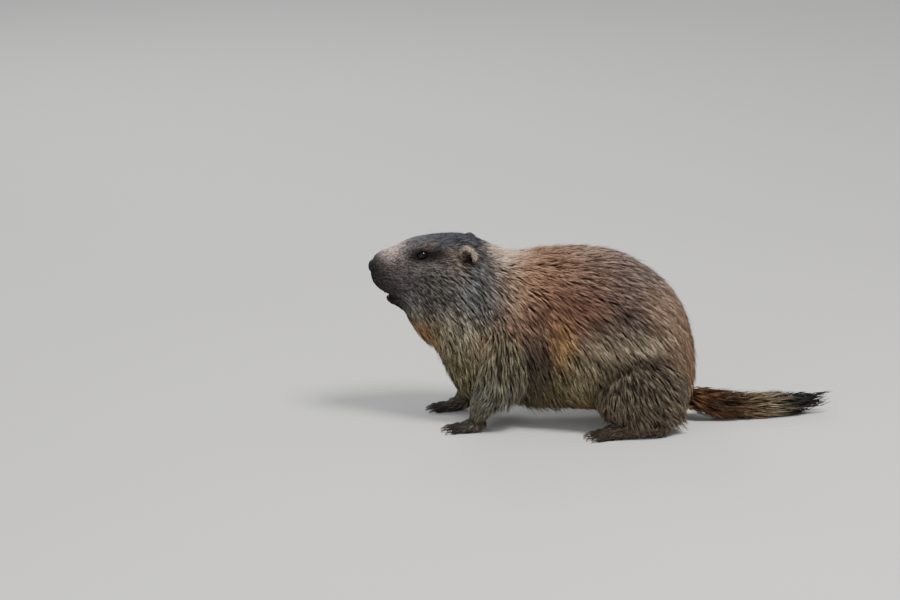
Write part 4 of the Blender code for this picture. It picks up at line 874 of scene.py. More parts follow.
def vertex_normals(points, quads):
    """Unit normals at the vertices: the sum of the cross products of the diagonals of the quads there."""
    a, b, c, d = (points[quads[:, k]] for k in range(4))
    face = np.cross(c - a, d - b)
    total = np.stack([
        np.bincount(quads.ravel(), np.repeat(column, 4), len(points)) for column in face.T], axis=-1)
    return unit(total)


WORK = {}


def work(key):
    """What an earlier operator left for a later one."""
    if key not in WORK:
        raise RuntimeError(f"no {key} yet: the Skin and Coat operators run before this one")
    return WORK[key]


def join_skin(settings):
    """The forms of the skin joined into one shell of even quads, eased without shrinking, flat below."""
    points, quads, triangles, first = [], [], [], 0
    sources = list(skin_sources())
    for _, grid, _, _ in sources:
        rings, fans = closed_faces(*grid.shape[:2], first)
        points.append(closed_points(grid))
        quads.append(rings)
        triangles.append(fans)
        first += len(points[-1])
    mesh = mesh_of("skin forms", np.concatenate(points), np.concatenate(quads), np.concatenate(triangles))
    obj = link_new("skin forms", mesh)
    modifier = obj.modifiers.new("one shell", "REMESH")
    modifier.mode = "VOXEL"
    modifier.voxel_size = settings.voxel
    bpy.context.view_layer.update()
    graph = bpy.context.evaluated_depsgraph_get()
    shell = bpy.data.meshes.new_from_object(obj.evaluated_get(graph))
    bpy.data.objects.remove(obj, do_unlink=True)
    points, quads, edges = read_mesh(shell)
    bpy.data.meshes.remove(shell)
    for _ in range(EASING_PASSES):
        points += EASING_IN * (neighbour_mean(points, edges) - points)
        points -= EASING_OUT * (neighbour_mean(points, edges) - points)
    points[:, 2] = np.maximum(points[:, 2], SKIN_FLOOR)
    return sources, points, quads, edges


def nearest_source(sources, points):
    """For each point of the skin, the place on the nearest form: part, share along and round, and heading."""
    rows, part, along, around, heading = [], [], [], [], []
    names = list(PARTS)
    for name, grid, share, turn in sources:
        step = max(1, grid.shape[0] // 90)
        cut = grid[::step, ::2]
        rows.append(cut.reshape(-1, 3))
        heading.append(unit(np.gradient(cut, axis=0)).reshape(-1, 3))
        part.append(np.full(cut.shape[0] * cut.shape[1], names.index(name)))
        u, v = np.meshgrid(share[::step], turn[::2], indexing="ij")
        along.append(u.ravel())
        around.append(v.ravel())
    rows = np.concatenate(rows)
    tree = KDTree(len(rows))
    for index, row in enumerate(rows):
        tree.insert(row, index)
    tree.balance()
    found = np.array([tree.find(point)[1] for point in points])
    return tuple(np.concatenate(values)[found] for values in (part, along, around, heading))


def at_places(points, places):
    """Values of the coat on the trunk: each named place weighs exp(-half its squared distance in reaches)."""
    centres = np.array([row[0] for row in places.values()], float) / 1000
    reaches = np.array([row[1] for row in places.values()], float) / 1000
    values = np.array([(*row[2], *row[3], *row[4]) for row in places.values()], float)
    apart = (folded(points)[:, None, :] - centres[None]) / reaches[None]
    square = np.sum(apart**2, axis=-1)
    weight = np.exp(-0.5 * (square - square.min(axis=1, keepdims=True)))
    return weight @ values / weight.sum(axis=1, keepdims=True)


def along_limb(share, rows):
    """Values of the coat along a limb, straight between the rows, with a slope of nought."""
    table = np.array([(*row[1], 0.0, *row[2], *row[3]) for row in rows], float)
    return columns_at(share, [row[0] for row in rows], table)


def make_fields(settings):
    """Joins the skin and works out at every vertex its part, unwrap, normal and the lie of its hair."""
    sources, points, quads, edges = join_skin(settings)
    part, along, around, heading = nearest_source(sources, points)
    kinds = np.array([KINDS.index(kind) for kind, _ in PARTS.values()])[part]
    share = np.eye(len(KINDS))[kinds]
    normal = vertex_normals(points, quads)
    slope = np.radians(at_places(points, COAT_PLACES)[:, SLOPE])
    lie = np.stack((np.cos(slope), np.zeros(len(slope)), -np.sin(slope)), axis=-1)
    spread = ease(-points[:, 0], *PARTING_RUN)[:, None]
    from_nose = points - np.array(PARTING)
    lie = blend(lie, unit(from_nose * np.array(PARTING_STRETCH)), spread)
    lie = np.where(kinds[:, None] == TRUNK, lie, heading)
    back = ease(points[:, 0], *THIGH_RUN)
    thigh = unit(np.stack((back, np.zeros(len(points)), np.full(len(points), THIGH_FALL)), -1))
    lie = np.where(kinds[:, None] == HIND_LEG, thigh, lie)
    behind = ease(normal[:, 0], -0.1, 0.6) * ease(along, *ARM_BEHIND_RUN)
    arm = np.maximum(ease(along, *ARM_RUN), behind)
    lie = blend(lie, unit(np.array(ARM_LIE)), (arm * (kinds == FORE_LEG))[:, None])
    heel = ease(normal[:, 0], 0.2, 0.8) * (kinds >= PAW)
    lie = blend(lie, np.array(STRAIGHT_DOWN), heel[:, None])
    brush = ease(points[:, 0], TAIL_END - BRUSH_RUN, TAIL_END) * (kinds == TAIL)
    lie = blend(lie, unit(np.array(BRUSH_TIP) - points), brush[:, None])
    for _ in range(LIE_PASSES):
        lie = unit(LIE_KEPT * lie + (1 - LIE_KEPT) * neighbour_mean(lie, edges))
        share = LIE_KEPT * share + (1 - LIE_KEPT) * neighbour_mean(share, edges)
    WORK.update(points=points, quads=quads, normal=normal, lie=lie, share=share, part=part, along=along,
                around=around)


def coat_values(points, share, along):
    """The coat's values at points: those of the named places and of the limbs, by the share of each kind."""
    total = share[:, :1] * at_places(points, COAT_PLACES)
    for k, kind in enumerate(KINDS[1:], start=1):
        near = share[:, k] > 1e-4
        total[near] += share[near, k : k + 1] * along_limb(along[near], COAT_ALONG[kind])
    return total


def mottling(points, seed):
    """Soft unevenness from -1 to 1: the mean of sines of the point along a dozen fixed directions."""
    random = np.random.default_rng(seed)
    heading = unit(random.normal(size=(12, 3)))
    length = random.uniform(0.006, 0.030, 12)
    phase = random.uniform(0, 2 * math.pi, 12)
    return np.sin(points @ (heading / length[:, None] * 2 * math.pi).T + phase).mean(axis=1) * 2.0


def hanging(points, normal, length):
    """How far hair hangs free of the skin: half at the elbow, less under the body, most at the tail's end.

    The elbow's share is exp(-half the squared distance in reaches from its middle). Under the body only long
    hair of skin that faces down hangs.
    """
    down = -normal[:, 2]
    skirt = np.exp(-0.5 * squared_reaches(points, SKIRT_CENTRE, SKIRT_REACH)) * ease(down, -0.40, 0.30)
    below = HANG_BELOW * (1 - skirt) * ease(down, 0.2, 0.7) * ease(length, *HANG_LENGTHS)
    tail_end = ease(points[:, 0], TAIL_END - HANG_RUN, TAIL_END) * ease(normal[:, 0], 0.0, 0.5)
    return np.maximum(HANG_AT_ELBOW * skirt + below, HANG_AT_TAIL * tail_end)


def pad_rows(points):
    """Pale rows of hair on the whisker pad: a sine of the height times exp(-squared distance in reaches)."""
    middle = np.exp(-squared_reaches(points, PAD_CENTRE, PAD_REACH))
    return PAD_CONTRAST * middle * np.sin(points[:, 2] / PAD_ROW * 2 * math.pi)


def bare(points, normal, kinds):
    """Where no hair roots: eyes, nose leather, inside the lips, and the soles."""
    ring, outwards = eye_ring(points)
    eye = (ring < 1) & (outwards > -0.002)
    nose = np.sum(((points - np.array(NOSE_CENTRE)) / (np.array(NOSE_RADII) * 0.93)) ** 2, axis=-1) < 1
    lips = lip_gap(points) > -0.0003
    lips &= points[:, 0] < MOUTH_CORNER[0] - 0.002
    sole = (normal[:, 2] < -0.55) & (points[:, 2] < 0.004) & (kinds >= PAW)
    return eye | nose | lips | sole


def clump_gap(settings, values):
    """Distance between clumps: wider where the hair is longer."""
    return settings.spacing + settings.spacing_growth * values[:, LENGTH] / 1000


def sow(settings, random):
    """Roots of the clumps: draws strided along the running sum of area / gap^2 over the skin's faces."""
    points, quads = WORK["points"], WORK["quads"]
    corner = points[quads]
    area = 0.5 * np.linalg.norm(np.cross(corner[:, 2] - corner[:, 0], corner[:, 3] - corner[:, 1]), axis=1)
    middle = corner.mean(axis=1)
    share = WORK["share"][quads].mean(axis=1)
    values = coat_values(middle, share, WORK["along"][quads[:, 0]])
    gap = clump_gap(settings, values)
    facing = WORK["normal"][quads[:, 0]]
    limb = 1 - share[:, TRUNK] - share[:, TAIL]
    inner = ease(-facing[:, 1] * np.sign(middle[:, 1]), 0.2, 0.8) * limb
    gap = gap * (1 + SPARSE_UNDER * ease(-facing[:, 2], 0.4, 0.9)) * (1 + SPARSE_INNER * inner)
    gap = gap * (1 + (SPARSE_LEGS - 1) * limb)
    ring, outwards = eye_ring(middle)
    gap = gap * (1 - DENSE_ROUND_EYE * ease(ring, 2.0, 1.3) * (outwards > 0))
    crowd = area / gap**2
    count = int(np.cumsum(crowd)[-1])
    chosen = quads[strided_draws(crowd, count, random)]
    a, b = random.random((2, count, 1))
    weight = np.stack(((1 - a) * (1 - b), a * (1 - b), a * b, (1 - a) * b), axis=1)

    def mixed(field):
        return np.sum(WORK[field][chosen] * weight, axis=1)

    nearest = chosen[:, 0]
    fields = {key: WORK[key][nearest] for key in ("along", "around", "part")}
    fields.update(root=mixed("points"), normal=unit(mixed("normal")), lie=mixed("lie"), share=mixed("share"))
    kept = ~bare(fields["root"], fields["normal"], WORK["share"][nearest].argmax(axis=1))
    return {key: value[kept] for key, value in fields.items()}


def unwrapped(part, along, around):
    """Places on the unwrap of the skin's own shape: along and round the part, in the part's own field."""
    fields = np.array([field for _, field in PARTS.values()])[part]
    reach = np.where(np.array([name.startswith(("fore_paw", "hind_foot")) for name in PARTS])[part], 2.0, 1.0)
    u = fields[:, 0] + fields[:, 2] * np.clip(along / reach, 0, 1)
    v = fields[:, 1] + fields[:, 3] * (around % 1.0)
    return np.stack((u, v), axis=-1)


def tuft_tones(light, dark, clump_tone, fleck, random, tufts, rings):
    """Tone of each ring of each tuft: dark roots, the tuft's own mix of dark and light, and ticked tips."""
    count = len(light)
    own = clump_tone[:, None] + random.normal(0, 1, (count, tufts)) * fleck[:, None]
    own = np.clip(own, 0, 1)[..., None, None]
    light, dark = light[:, None, None, :], dark[:, None, None, :]
    body = dark + (light - dark) * own
    ticked = random.random((count, tufts, 1, 1)) < TICKED
    tip = np.where(ticked, light * 1.12, body * 0.94)
    place = np.append(np.array(rings), 1.0)[None, None, :, None]
    root = dark * 0.60
    rising = ease(place, 0.05, 0.45)
    tipping = ease(place, 0.55, 0.95)
    tone = root + (body - root) * rising
    return tone + (tip - tone) * tipping


def grow(fields, rule, settings, random, tree):
    """Tufts of each clump: tapered three-sided hairs on cubic arcs that rise from the skin and lie along it.

    An arc is the cubic of four points: the root, a point raised along the lie, a point behind the tip and the
    tip. The clump's tip lies on the skin at the hair's length along the lie, raised by the hair's rise, and
    each tuft's own tip is gathered towards it.
    """
    count, tufts = len(fields["root"]), rule["tufts"]
    values = fields["values"]
    length = values[:, LENGTH] / 1000 * settings.length * random.uniform(*LENGTH_RANGE, count)
    rise = values[:, RISE] / 1000 * settings.rise * random.uniform(*RISE_RANGE, count)
    width = values[:, WIDTH] / 1000 * settings.width
    root, normal = fields["root"], fields["normal"]
    hang = hanging(root, normal, values[:, LENGTH] / 1000)[:, None]
    off = np.sum(fields["lie"] * normal, axis=1, keepdims=True)
    lie = unit(fields["lie"] - normal * off * (1 - hang * (off > 0)))
    side = np.cross(normal, lie)
    turn = SWIRL * mottling(root, settings.seed + 3) + random.normal(0, STRAY_TURN, count)
    lie = unit(lie * np.cos(turn)[:, None] + side * np.sin(turn)[:, None])
    side = np.cross(normal, lie)
    target = root + lie * length[:, None]
    reached = [tree.find_nearest(Vector(point)) for point in target]
    pull = np.array([place for place, _, _, _ in reached]) - target
    reach = TIP_PULL * (1 - hang) / (np.linalg.norm(pull, axis=1, keepdims=True) + 1e-9)
    tip_ground = target + pull * np.minimum(1.0, reach)
    tip_normal = np.array([way for _, way, _, _ in reached])
    tip_normal = unit(0.6 * tip_normal + 0.4 * normal)
    tip = tip_ground + tip_normal * rise[:, None]
    spread = GAP_SPREAD * clump_gap(settings, values) + WIDTH_SPREAD * width
    radius = np.sqrt(random.random((count, tufts))) * spread[:, None]
    angle = random.uniform(0, 2 * math.pi, (count, tufts))
    a, b = (radius * np.cos(angle))[..., None], (radius * np.sin(angle))[..., None]
    offset = side[:, None] * a + lie[:, None] * b

    def stray(scale):
        return random.normal(0, scale, (count, tufts, 1))

    start = root[:, None] + offset - normal[:, None] * TUFT_SUNK
    reach = random.uniform(*REACH_RANGE, (count, tufts, 1))
    sideways = side[:, None] * stray(STRAY_SIDEWAYS) * width[:, None, None]
    lift = tip_normal[:, None] * np.abs(stray(STRAY_LIFT)) * rise[:, None, None]
    aim = tip[:, None] + offset * rule["gather"] + sideways + lift
    end = start + (aim - start) * reach
    step = length[:, None, None] * reach
    raised = normal[:, None] * (rise[:, None, None] * ARC_RISES[0] + TUFT_SUNK)
    first = start + lie[:, None] * step * ARC_SHARES[0] + raised
    chord = unit(end - start)
    upright = np.sum(chord * tip_normal[:, None], axis=-1, keepdims=True)
    tip_lie = unit(chord - tip_normal[:, None] * upright)
    bend = side[:, None] * stray(STRAY_BEND) * step
    above = tip_normal[:, None] * rise[:, None, None] * ARC_RISES[1]
    second = end - tip_lie * step * ARC_SHARES[1] + above + bend

    place = np.array(rule["rings"])[None, None, :, None]
    four = [point[:, :, None] for point in (start, first, second, end)]
    back = 1 - place
    weights = (back**3, 3 * back**2 * place, 3 * back * place**2, place**3)
    centre = weights[0] * four[0] + weights[1] * four[1] + weights[2] * four[2] + weights[3] * four[3]
    tangent = unit(
        back**2 * (four[1] - four[0]) + 2 * back * place * (four[2] - four[1])
        + place**2 * (four[3] - four[2]))
    up = unit(normal[:, None, None] * back + tip_normal[:, None, None] * place)
    across = unit(np.cross(up, tangent))
    over = np.cross(tangent, across)
    roll = random.normal(0, ROLL, (count, tufts, 1, 1))
    across, over = across * np.cos(roll) + over * np.sin(roll), over * np.cos(roll) - across * np.sin(roll)
    half = 0.5 * width[:, None, None, None] * np.array(rule["widths"])[None, None, :, None]
    half = half * random.uniform(*WIDTH_RANGE, (count, tufts, 1, 1))
    rings = np.stack(
        (centre + across * half, centre + over * half * 2 * TUFT_THICKNESS, centre - across * half), 3)
    points = np.concatenate((rings.reshape(count, tufts, -1, 3), end[:, :, None]), axis=2)
    points[..., 2] = np.maximum(points[..., 2], HAIR_FLOOR)

    light, dark = (linear(values[:, tone]) * settings.light for tone in (LIGHT, DARK))
    on_head = ease(root[:, 0], HEAD_ENDS, HEAD_ENDS - HEAD_FADES)
    swing, scatter, fleck = (body + head * on_head for body, head in (TONE_SWING, TONE_STRAY, TONE_FLECK))
    clump_tone = TONE_MIDDLE + swing * mottling(root, settings.seed) + random.normal(0, 1, count) * scatter
    clump_tone = np.clip(clump_tone + pad_rows(root), 0.02, 0.98)
    tones = tuft_tones(light, dark, clump_tone, fleck, random, tufts, rule["rings"])
    tones = np.concatenate((np.repeat(tones[:, :, :-1], 3, axis=2), tones[:, :, -1:]), axis=2)
    home = fields["home"][:, None] + np.stack((a[..., 0], b[..., 0]), axis=-1) / HOME_SPREAD
    return points, tones, home


def tuft_faces(rings):
    """Faces of one tuft of three-sided rings: its root's cap, quads between rings, triangles to the tip."""
    quads = [(3 * k + i, 3 * k + (i + 1) % 3, 3 * k + 3 + (i + 1) % 3, 3 * k + 3 + i)
             for k in range(rings - 1) for i in range(3)]
    last = 3 * (rings - 1)
    triangles = [(last + i, last + (i + 1) % 3, last + 3) for i in range(3)] + [(2, 1, 0)]
    return np.array(quads)[:, ::-1], np.array(triangles)[:, ::-1]


def set_tones(mesh, tones):
    """Gives every point of a mesh its tone, as the colour attribute that the hair and the skin show."""
    layer = mesh.color_attributes.new("Coat", "FLOAT_COLOR", "POINT")
    layer.data.foreach_set("color", np.column_stack((tones, np.ones(len(tones)))).astype(np.float32).ravel())


def coat_mesh(name, points, tones, home, rings):
    """One mesh of many tufts, with their tones and the patch of each on the unwrap."""
    tufts = points.shape[0] * points.shape[1]
    each = points.shape[2]
    quads, triangles = tuft_faces(rings)
    first = (np.arange(tufts) * each)[:, None, None]
    mesh = mesh_of(name, points.reshape(-1, 3), (quads[None] + first).reshape(-1, 4),
                   (triangles[None] + first).reshape(-1, 3))
    set_tones(mesh, tones.reshape(-1, 3))
    local = np.concatenate((
        np.stack((np.tile((0.0, 0.5, 1.0), rings), np.repeat(np.arange(rings) / rings, 3)), axis=-1),
        ((0.5, 1.0),))) - 0.5
    patch = home.reshape(-1, 1, 2) + local[None] * PATCH_ON_UNWRAP
    corners = np.empty(len(mesh.loops), np.int32)
    mesh.loops.foreach_get("vertex_index", corners)
    unwrap = mesh.uv_layers.new(name="OFBake", do_init=False)
    unwrap.uv.foreach_set("vector", patch.reshape(-1, 2)[corners].astype(np.float32).ravel())
    return mesh


class Shading:
    """A material's node tree around its Principled shader, with what the model's materials share."""

    def __init__(self, name, roughness, specular):
        self.material = bpy.data.materials.new(name)
        self.material.use_nodes = True
        self.nodes = self.material.node_tree.nodes
        self.link = self.material.node_tree.links.new
        self.inputs = self.nodes["Principled BSDF"].inputs
        self.set({"Roughness": roughness, "Specular IOR Level": specular})

    def set(self, values):
        """Sets inputs of the shader."""
        for key, value in values.items():
            self.inputs[key].default_value = value

    def add(self, kind, **values):
        """A new node with its inputs and settings."""
        node = self.nodes.new(kind)
        for key, value in values.items():
            if key in node.inputs:
                node.inputs[key].default_value = value
            else:
                setattr(node, key, value)
        return node

    def attribute(self, name, output="Fac"):
        """The value, or another output, of an attribute of the mesh."""
        return self.add("ShaderNodeAttribute", attribute_name=name).outputs[output]

    def grain(self, scale, detail=3.0, stretch=(1.0, 1.0, 1.0)):
        """Noise on Object coordinates, stretched by a Mapping node."""
        mapping = self.add("ShaderNodeMapping", Scale=stretch)
        noise = self.add("ShaderNodeTexNoise", Scale=scale, Detail=detail)
        self.link(self.add("ShaderNodeTexCoord").outputs["Object"], mapping.inputs["Vector"])
        self.link(mapping.outputs["Vector"], noise.inputs["Vector"])
        return noise.outputs["Fac"]

    def ramp(self, source, *stops):
        """A Color Ramp on a value, with its stops as (place, colour)."""
        node = self.add("ShaderNodeValToRGB")
        elements = node.color_ramp.elements
        while len(elements) < len(stops):
            elements.new(0.5)
        for element, (place, colour) in zip(elements, stops):
            element.position = place
            element.color = (*colour, 1.0)
        self.link(source, node.inputs["Fac"])
        return node.outputs["Color"]

    def times(self, first, second):
        """The product of two colours."""
        node = self.add("ShaderNodeMix", data_type="RGBA", blend_type="MULTIPLY")
        node.inputs[0].default_value = 1.0
        self.link(first, node.inputs[6])
        self.link(second, node.inputs[7])
        return node.outputs[2]

    def bump(self, height, strength, distance):
        """Relief of the surface by a height."""
        node = self.add("ShaderNodeBump", Strength=strength, Distance=distance)
        self.link(height, node.inputs["Height"])
        self.link(node.outputs["Normal"], self.inputs["Normal"])

    def coloured(self, socket):
        """The finished material, with the socket as its base colour."""
        self.link(socket, self.inputs["Base Color"])
        return self.material


def scaled(colour, gain):
    """A colour times a gain."""
    return tuple(gain * value for value in colour)


def hair_material():
    """Hair: the tuft's own tone with fine unevenness, and a soft gloss."""
    hair = Shading("hair", 0.55, 0.28)
    fine = hair.ramp(hair.grain(420.0, 2.0), (0.30, (0.84, 0.84, 0.84)), (0.70, (1.14, 1.13, 1.12)))
    return hair.coloured(hair.times(hair.attribute("Coat", "Color"), fine))


def skin_material():
    """Skin under the coat: its underfur's tone with painted shade, streaked along the body, with the bump of
    short flat hair.
    """
    skin = Shading("underfur and skin", 0.85, 0.2)
    streaks = skin.grain(260.0, 4.0, (0.45, 1.6, 1.2))
    shade = skin.ramp(streaks, (0.32, (0.60, 0.58, 0.57)), (0.68, (1.30, 1.28, 1.24)))
    skin.bump(streaks, 0.6, 0.0008)
    return skin.coloured(skin.times(skin.attribute("Coat", "Color"), shade))


def leather_material(colour, roughness, relief, specular):
    """Bare dark skin: pebbled by the relief's strength, with a faint sheen."""
    leather = Shading("bare skin", roughness, specular)
    cells = leather.add("ShaderNodeTexVoronoi", Scale=1500.0, feature="SMOOTH_F1")
    leather.link(leather.add("ShaderNodeTexCoord").outputs["Object"], cells.inputs["Vector"])
    away = cells.outputs["Distance"]
    leather.bump(away, relief, 0.0004)
    return leather.coloured(
        leather.ramp(away, (0.0, scaled(colour, 1.6)), (0.6, colour), (1.0, scaled(colour, 0.6))))


def eye_material(colour):
    """A dark eye under a wet coat: black pupil, brown iris with fine rays, dark rim."""
    eye = Shading("eye", 0.05, 0.16)
    eye.set({"Coat Weight": 0.10, "Coat Roughness": 0.02})
    rings = eye.ramp(
        eye.attribute("From pupil"), (0.00, (0.002, 0.002, 0.002)), (0.25, (0.003, 0.002, 0.002)),
        (0.31, colour), (0.50, scaled(colour, 1.4)), (0.62, (0.006, 0.004, 0.003)),
        (1.0, (0.012, 0.010, 0.009)))
    rays = eye.ramp(eye.grain(900.0, 4.0), (0.3, (0.6, 0.6, 0.6)), (0.7, (1.35, 1.3, 1.2)))
    return eye.coloured(eye.times(rings, rays))


def tooth_material(colour):
    """Incisor: orange enamel, paler towards the edge, with fine upright lines."""
    tooth = Shading("incisor enamel", 0.25, 0.5)
    lines = tooth.grain(900.0, 3.0, (2.0, 2.0, 0.15))
    tooth.bump(lines, 0.3, 0.0002)
    return tooth.coloured(tooth.ramp(lines, (0.30, colour), (0.75, (0.66, 0.34, 0.11))))


def claw_material(colour):
    """Claw: dark horn, ridged along its length, paler and more worn towards the tip."""
    claw = Shading("claw horn", 0.34, 0.5)
    worn = tuple(min(1.0, 5.0 * value + 0.02) for value in colour)
    body = claw.ramp(claw.attribute("Along claw"), (0.0, colour), (0.55, scaled(colour, 1.7)), (1.0, worn))
    lines = claw.grain(700.0, 3.0, (0.25, 2.0, 1.4))
    shade = claw.ramp(lines, (0.3, (0.7, 0.7, 0.7)), (0.7, (1.25, 1.22, 1.18)))
    claw.bump(lines, 0.4, 0.0003)
    return claw.coloured(claw.times(body, shade))


def whisker_material():
    """Whisker: black hair with a gloss, faintly uneven."""
    whisker = Shading("whisker", 0.30, 0.5)
    return whisker.coloured(
        whisker.ramp(whisker.grain(300.0), (0.3, (0.012, 0.011, 0.010)), (0.8, (0.05, 0.045, 0.04))))


def ear_material():
    """The ear's skin under its hair: dark and faintly ridged."""
    ear = Shading("ear skin", 0.75, 0.25)
    ear.bump(ear.grain(600.0, 3.0, (0.5, 1.0, 1.5)), 0.5, 0.0005)
    return ear.coloured(
        ear.ramp(ear.grain(320.0, 4.0), (0.3, (0.016, 0.013, 0.011)), (0.7, (0.040, 0.031, 0.025))))


def floor_material(colour):
    """The floor: one pale tone, barely clouded."""
    floor = Shading("floor", 0.75, 0.2)
    return floor.coloured(floor.ramp(floor.grain(2.0), (0.3, scaled(colour, 0.98)), (0.7, tuple(colour))))


def eye_frame(side):
    """Centre, outward axis, length axis of the slit and its upward axis for the eye on one side."""
    centre = np.array((EYE_CENTRE[0], side * EYE_CENTRE[1], EYE_CENTRE[2]))
    outward = unit(np.array((EYE_OUTWARD[0], side * EYE_OUTWARD[1], EYE_OUTWARD[2])))
    back = np.array((math.cos(EYE_TILT), 0.0, math.sin(EYE_TILT)))
    back = unit(back - outward * (back @ outward))
    up = np.cross(outward, back) * -side
    return centre, outward, back, up


def eye_ring(points):
    """Distance from the nearer eye's middle in half openings of its slit, and how far outwards from it."""
    _, outward, back, up = eye_frame(1)
    from_eye = folded(points) - np.array(EYE_CENTRE)
    return np.hypot(from_eye @ back / EYE_OPENING[0], from_eye @ up / EYE_OPENING[1]), from_eye @ outward


def eye_grid(side, radius):
    """An eyeball at (tilt from the axis, turn): a sphere with a cornea that adds 5% * exp(-(tilt / 0.55)^2).

    It draws in by a quarter behind the lids, outside an ellipse a little larger than the slit.
    """
    centre, outward, back, up = eye_frame(side)
    tilt = np.linspace(POLE, math.pi - POLE, 40)[:, None, None]
    turn = turns(48)[None, :, None]
    across = radius * np.sin(tilt) * np.cos(turn) / EYE_OPENING[0]
    above = radius * np.sin(tilt) * np.sin(turn) / EYE_OPENING[1]
    hidden = np.maximum(ease(np.hypot(across, above), 1.0, 1.3), ease(tilt, 1.3, 1.5))
    bulge = radius * (1 + CORNEA * np.exp(-((tilt / CORNEA_TILT) ** 2)) - BEHIND_LIDS * hidden)
    sideways = np.cos(turn) * back + np.sin(turn) * up
    return centre + bulge * (np.cos(tilt) * outward + np.sin(tilt) * sideways)


def lid_grid(side, radius):
    """Lids round one eye, as a closed section carried round the almond slit.

    The slit is (a cos t, b sin t to a power), drawn to a point at its front corner. From its edge the lid
    runs out over the eyeball on a slightly larger sphere, 1 to LID_REACH times the slit's size, and returns
    inside the ball.
    """
    centre, outward, back, up = eye_frame(side)
    t = turns(96)[:, None]
    slit_back = SLIT_LONG * np.cos(t) - SLIT_POINT * np.exp(-(((t - math.pi) / 0.32) ** 2))
    slit_up = np.where(np.sin(t) > 0, *SLIT_HIGH) * signed_power(np.sin(t), 1.15)
    share = np.array((0.0, 0.02, 0.10, 0.25, 0.50, 0.75, 1.0, 1.0, 0.6, 0.25, 0.05, 0.0))[None, :]
    lift = np.array(
        (0.020, 0.055, 0.085, 0.080, 0.030, -0.04, -0.12, -0.22, -0.12, -0.06, -0.04, -0.01))[None, :]
    heavy = 1 + 0.45 * ease(np.sin(t), -0.2, 0.8)
    size = 1 + (LID_REACH - 1) * share
    across, above = slit_back * size, slit_up * size + 0.0009 * share * np.sin(t)
    level = radius * (1 + lift * heavy)
    out = np.sqrt(np.maximum(level**2 - across**2 - above**2, (0.25 * radius) ** 2))
    return centre + back * across[..., None] + up * above[..., None] + outward * out[..., None]


def nose_grid():
    """Nose leather at (angle up, angle round): an ellipsoid with two comma-shaped nostrils and a groove.

    Each radius is scaled by 1 less a round pit and a slit that curves out and up from it, both exp(-squared
    distance), less a groove exp(-(y / 0.0006)^2) down the middle, and plus a raised wing over each slit.
    """
    tilt = np.linspace(POLE, math.pi - POLE, 84)[:, None]
    turn = turns(120)[None, :]
    level = np.sin(tilt)
    way = np.stack((level * np.cos(turn), level * np.sin(turn), np.cos(tilt) * np.ones_like(turn)), -1)
    grid = np.array(NOSE_CENTRE) + way * np.array(NOSE_RADII)
    y, z = np.abs(grid[..., 1]) - NOSTRIL[0], grid[..., 2] - NOSTRIL[1]
    front = ease(-way[..., 0], -0.25, 0.35)
    pit = 0.30 * np.exp(-((y + 0.0010) / 0.0019) ** 2 - ((z + 0.0004) / 0.0016) ** 2)
    slit = 0.26 * np.exp(-((y - 0.0016) / 0.0028) ** 2 - ((z - 90 * (y - 0.0006) ** 2) / 0.0009) ** 2)
    wing = 0.07 * np.exp(-((y - 0.0012) / 0.0030) ** 2 - ((z - 0.0026) / 0.0012) ** 2)
    groove = 0.09 * np.exp(-((grid[..., 1] / 0.0006) ** 2)) * ease(0.2115 - grid[..., 2], 0.0, 0.003)
    relief = (1 + (wing - pit - slit - groove) * front)[..., None]
    return np.array(NOSE_CENTRE) + way * np.array(NOSE_RADII) * relief


def lip_line(slope):
    """Where a lip's plane cuts the muzzle: for rings from corner to front, the half width at its height."""
    stations = (np.linspace(LIP_FRONT, MOUTH_CORNER[0], 260) + ORIGIN_FROM_NOSE) / BODY_LENGTH
    angles = np.linspace(-math.pi / 2, 0.0, 90)
    ring = trunk_surface(stations, np.concatenate((angles, angles + math.pi)))[:, :90]
    x = ring[:, 0, 0]
    height = MOUTH_CORNER[1] + (MOUTH_CORNER[0] - x) * slope
    y = np.array([np.interp(level, row[:, 2], row[:, 1]) for level, row in zip(height, ring)])
    there = height > ring[:, 0, 2]
    x, y, height = x[there], y[there], height[there]
    half = np.stack((x, y, height), axis=-1)
    whole = np.concatenate((half[::-1] * np.array((1, -1, 1)), half))
    whole[:, 1] = np.where(np.abs(whole[:, 1]) < 1e-5, 0.0, whole[:, 1])
    step = run_along(whole)
    return columns_at(np.linspace(0.0, step[-1], 64), step, whole)


def lip_grid(slope, full):
    """A lip at (place along it, turn): a circle carried along the lip's line, thin at the mouth's corners."""
    line = lip_line(slope)
    line = line + unit(np.array((LIP_HEART, 0.0, MOUTH_CORNER[1])) - line) * LIP_SUNK
    for _ in range(3):
        line[1:-1] = 0.25 * line[:-2] + 0.5 * line[1:-1] + 0.25 * line[2:]
    share = np.linspace(0, 1, len(line))
    radius = full * (0.42 + 0.58 * np.sin(math.pi * share) ** 0.7)
    forward = unit(np.gradient(line, axis=0))
    up = np.array((0.0, 0.0, 1.0))
    across = unit(np.cross(forward, up))
    upward = np.cross(across, forward)
    turn = turns(12)[None, :, None]
    section = across[:, None] * np.cos(turn) + upward[:, None] * np.sin(turn)
    return line[:, None] + section * radius[:, None, None]


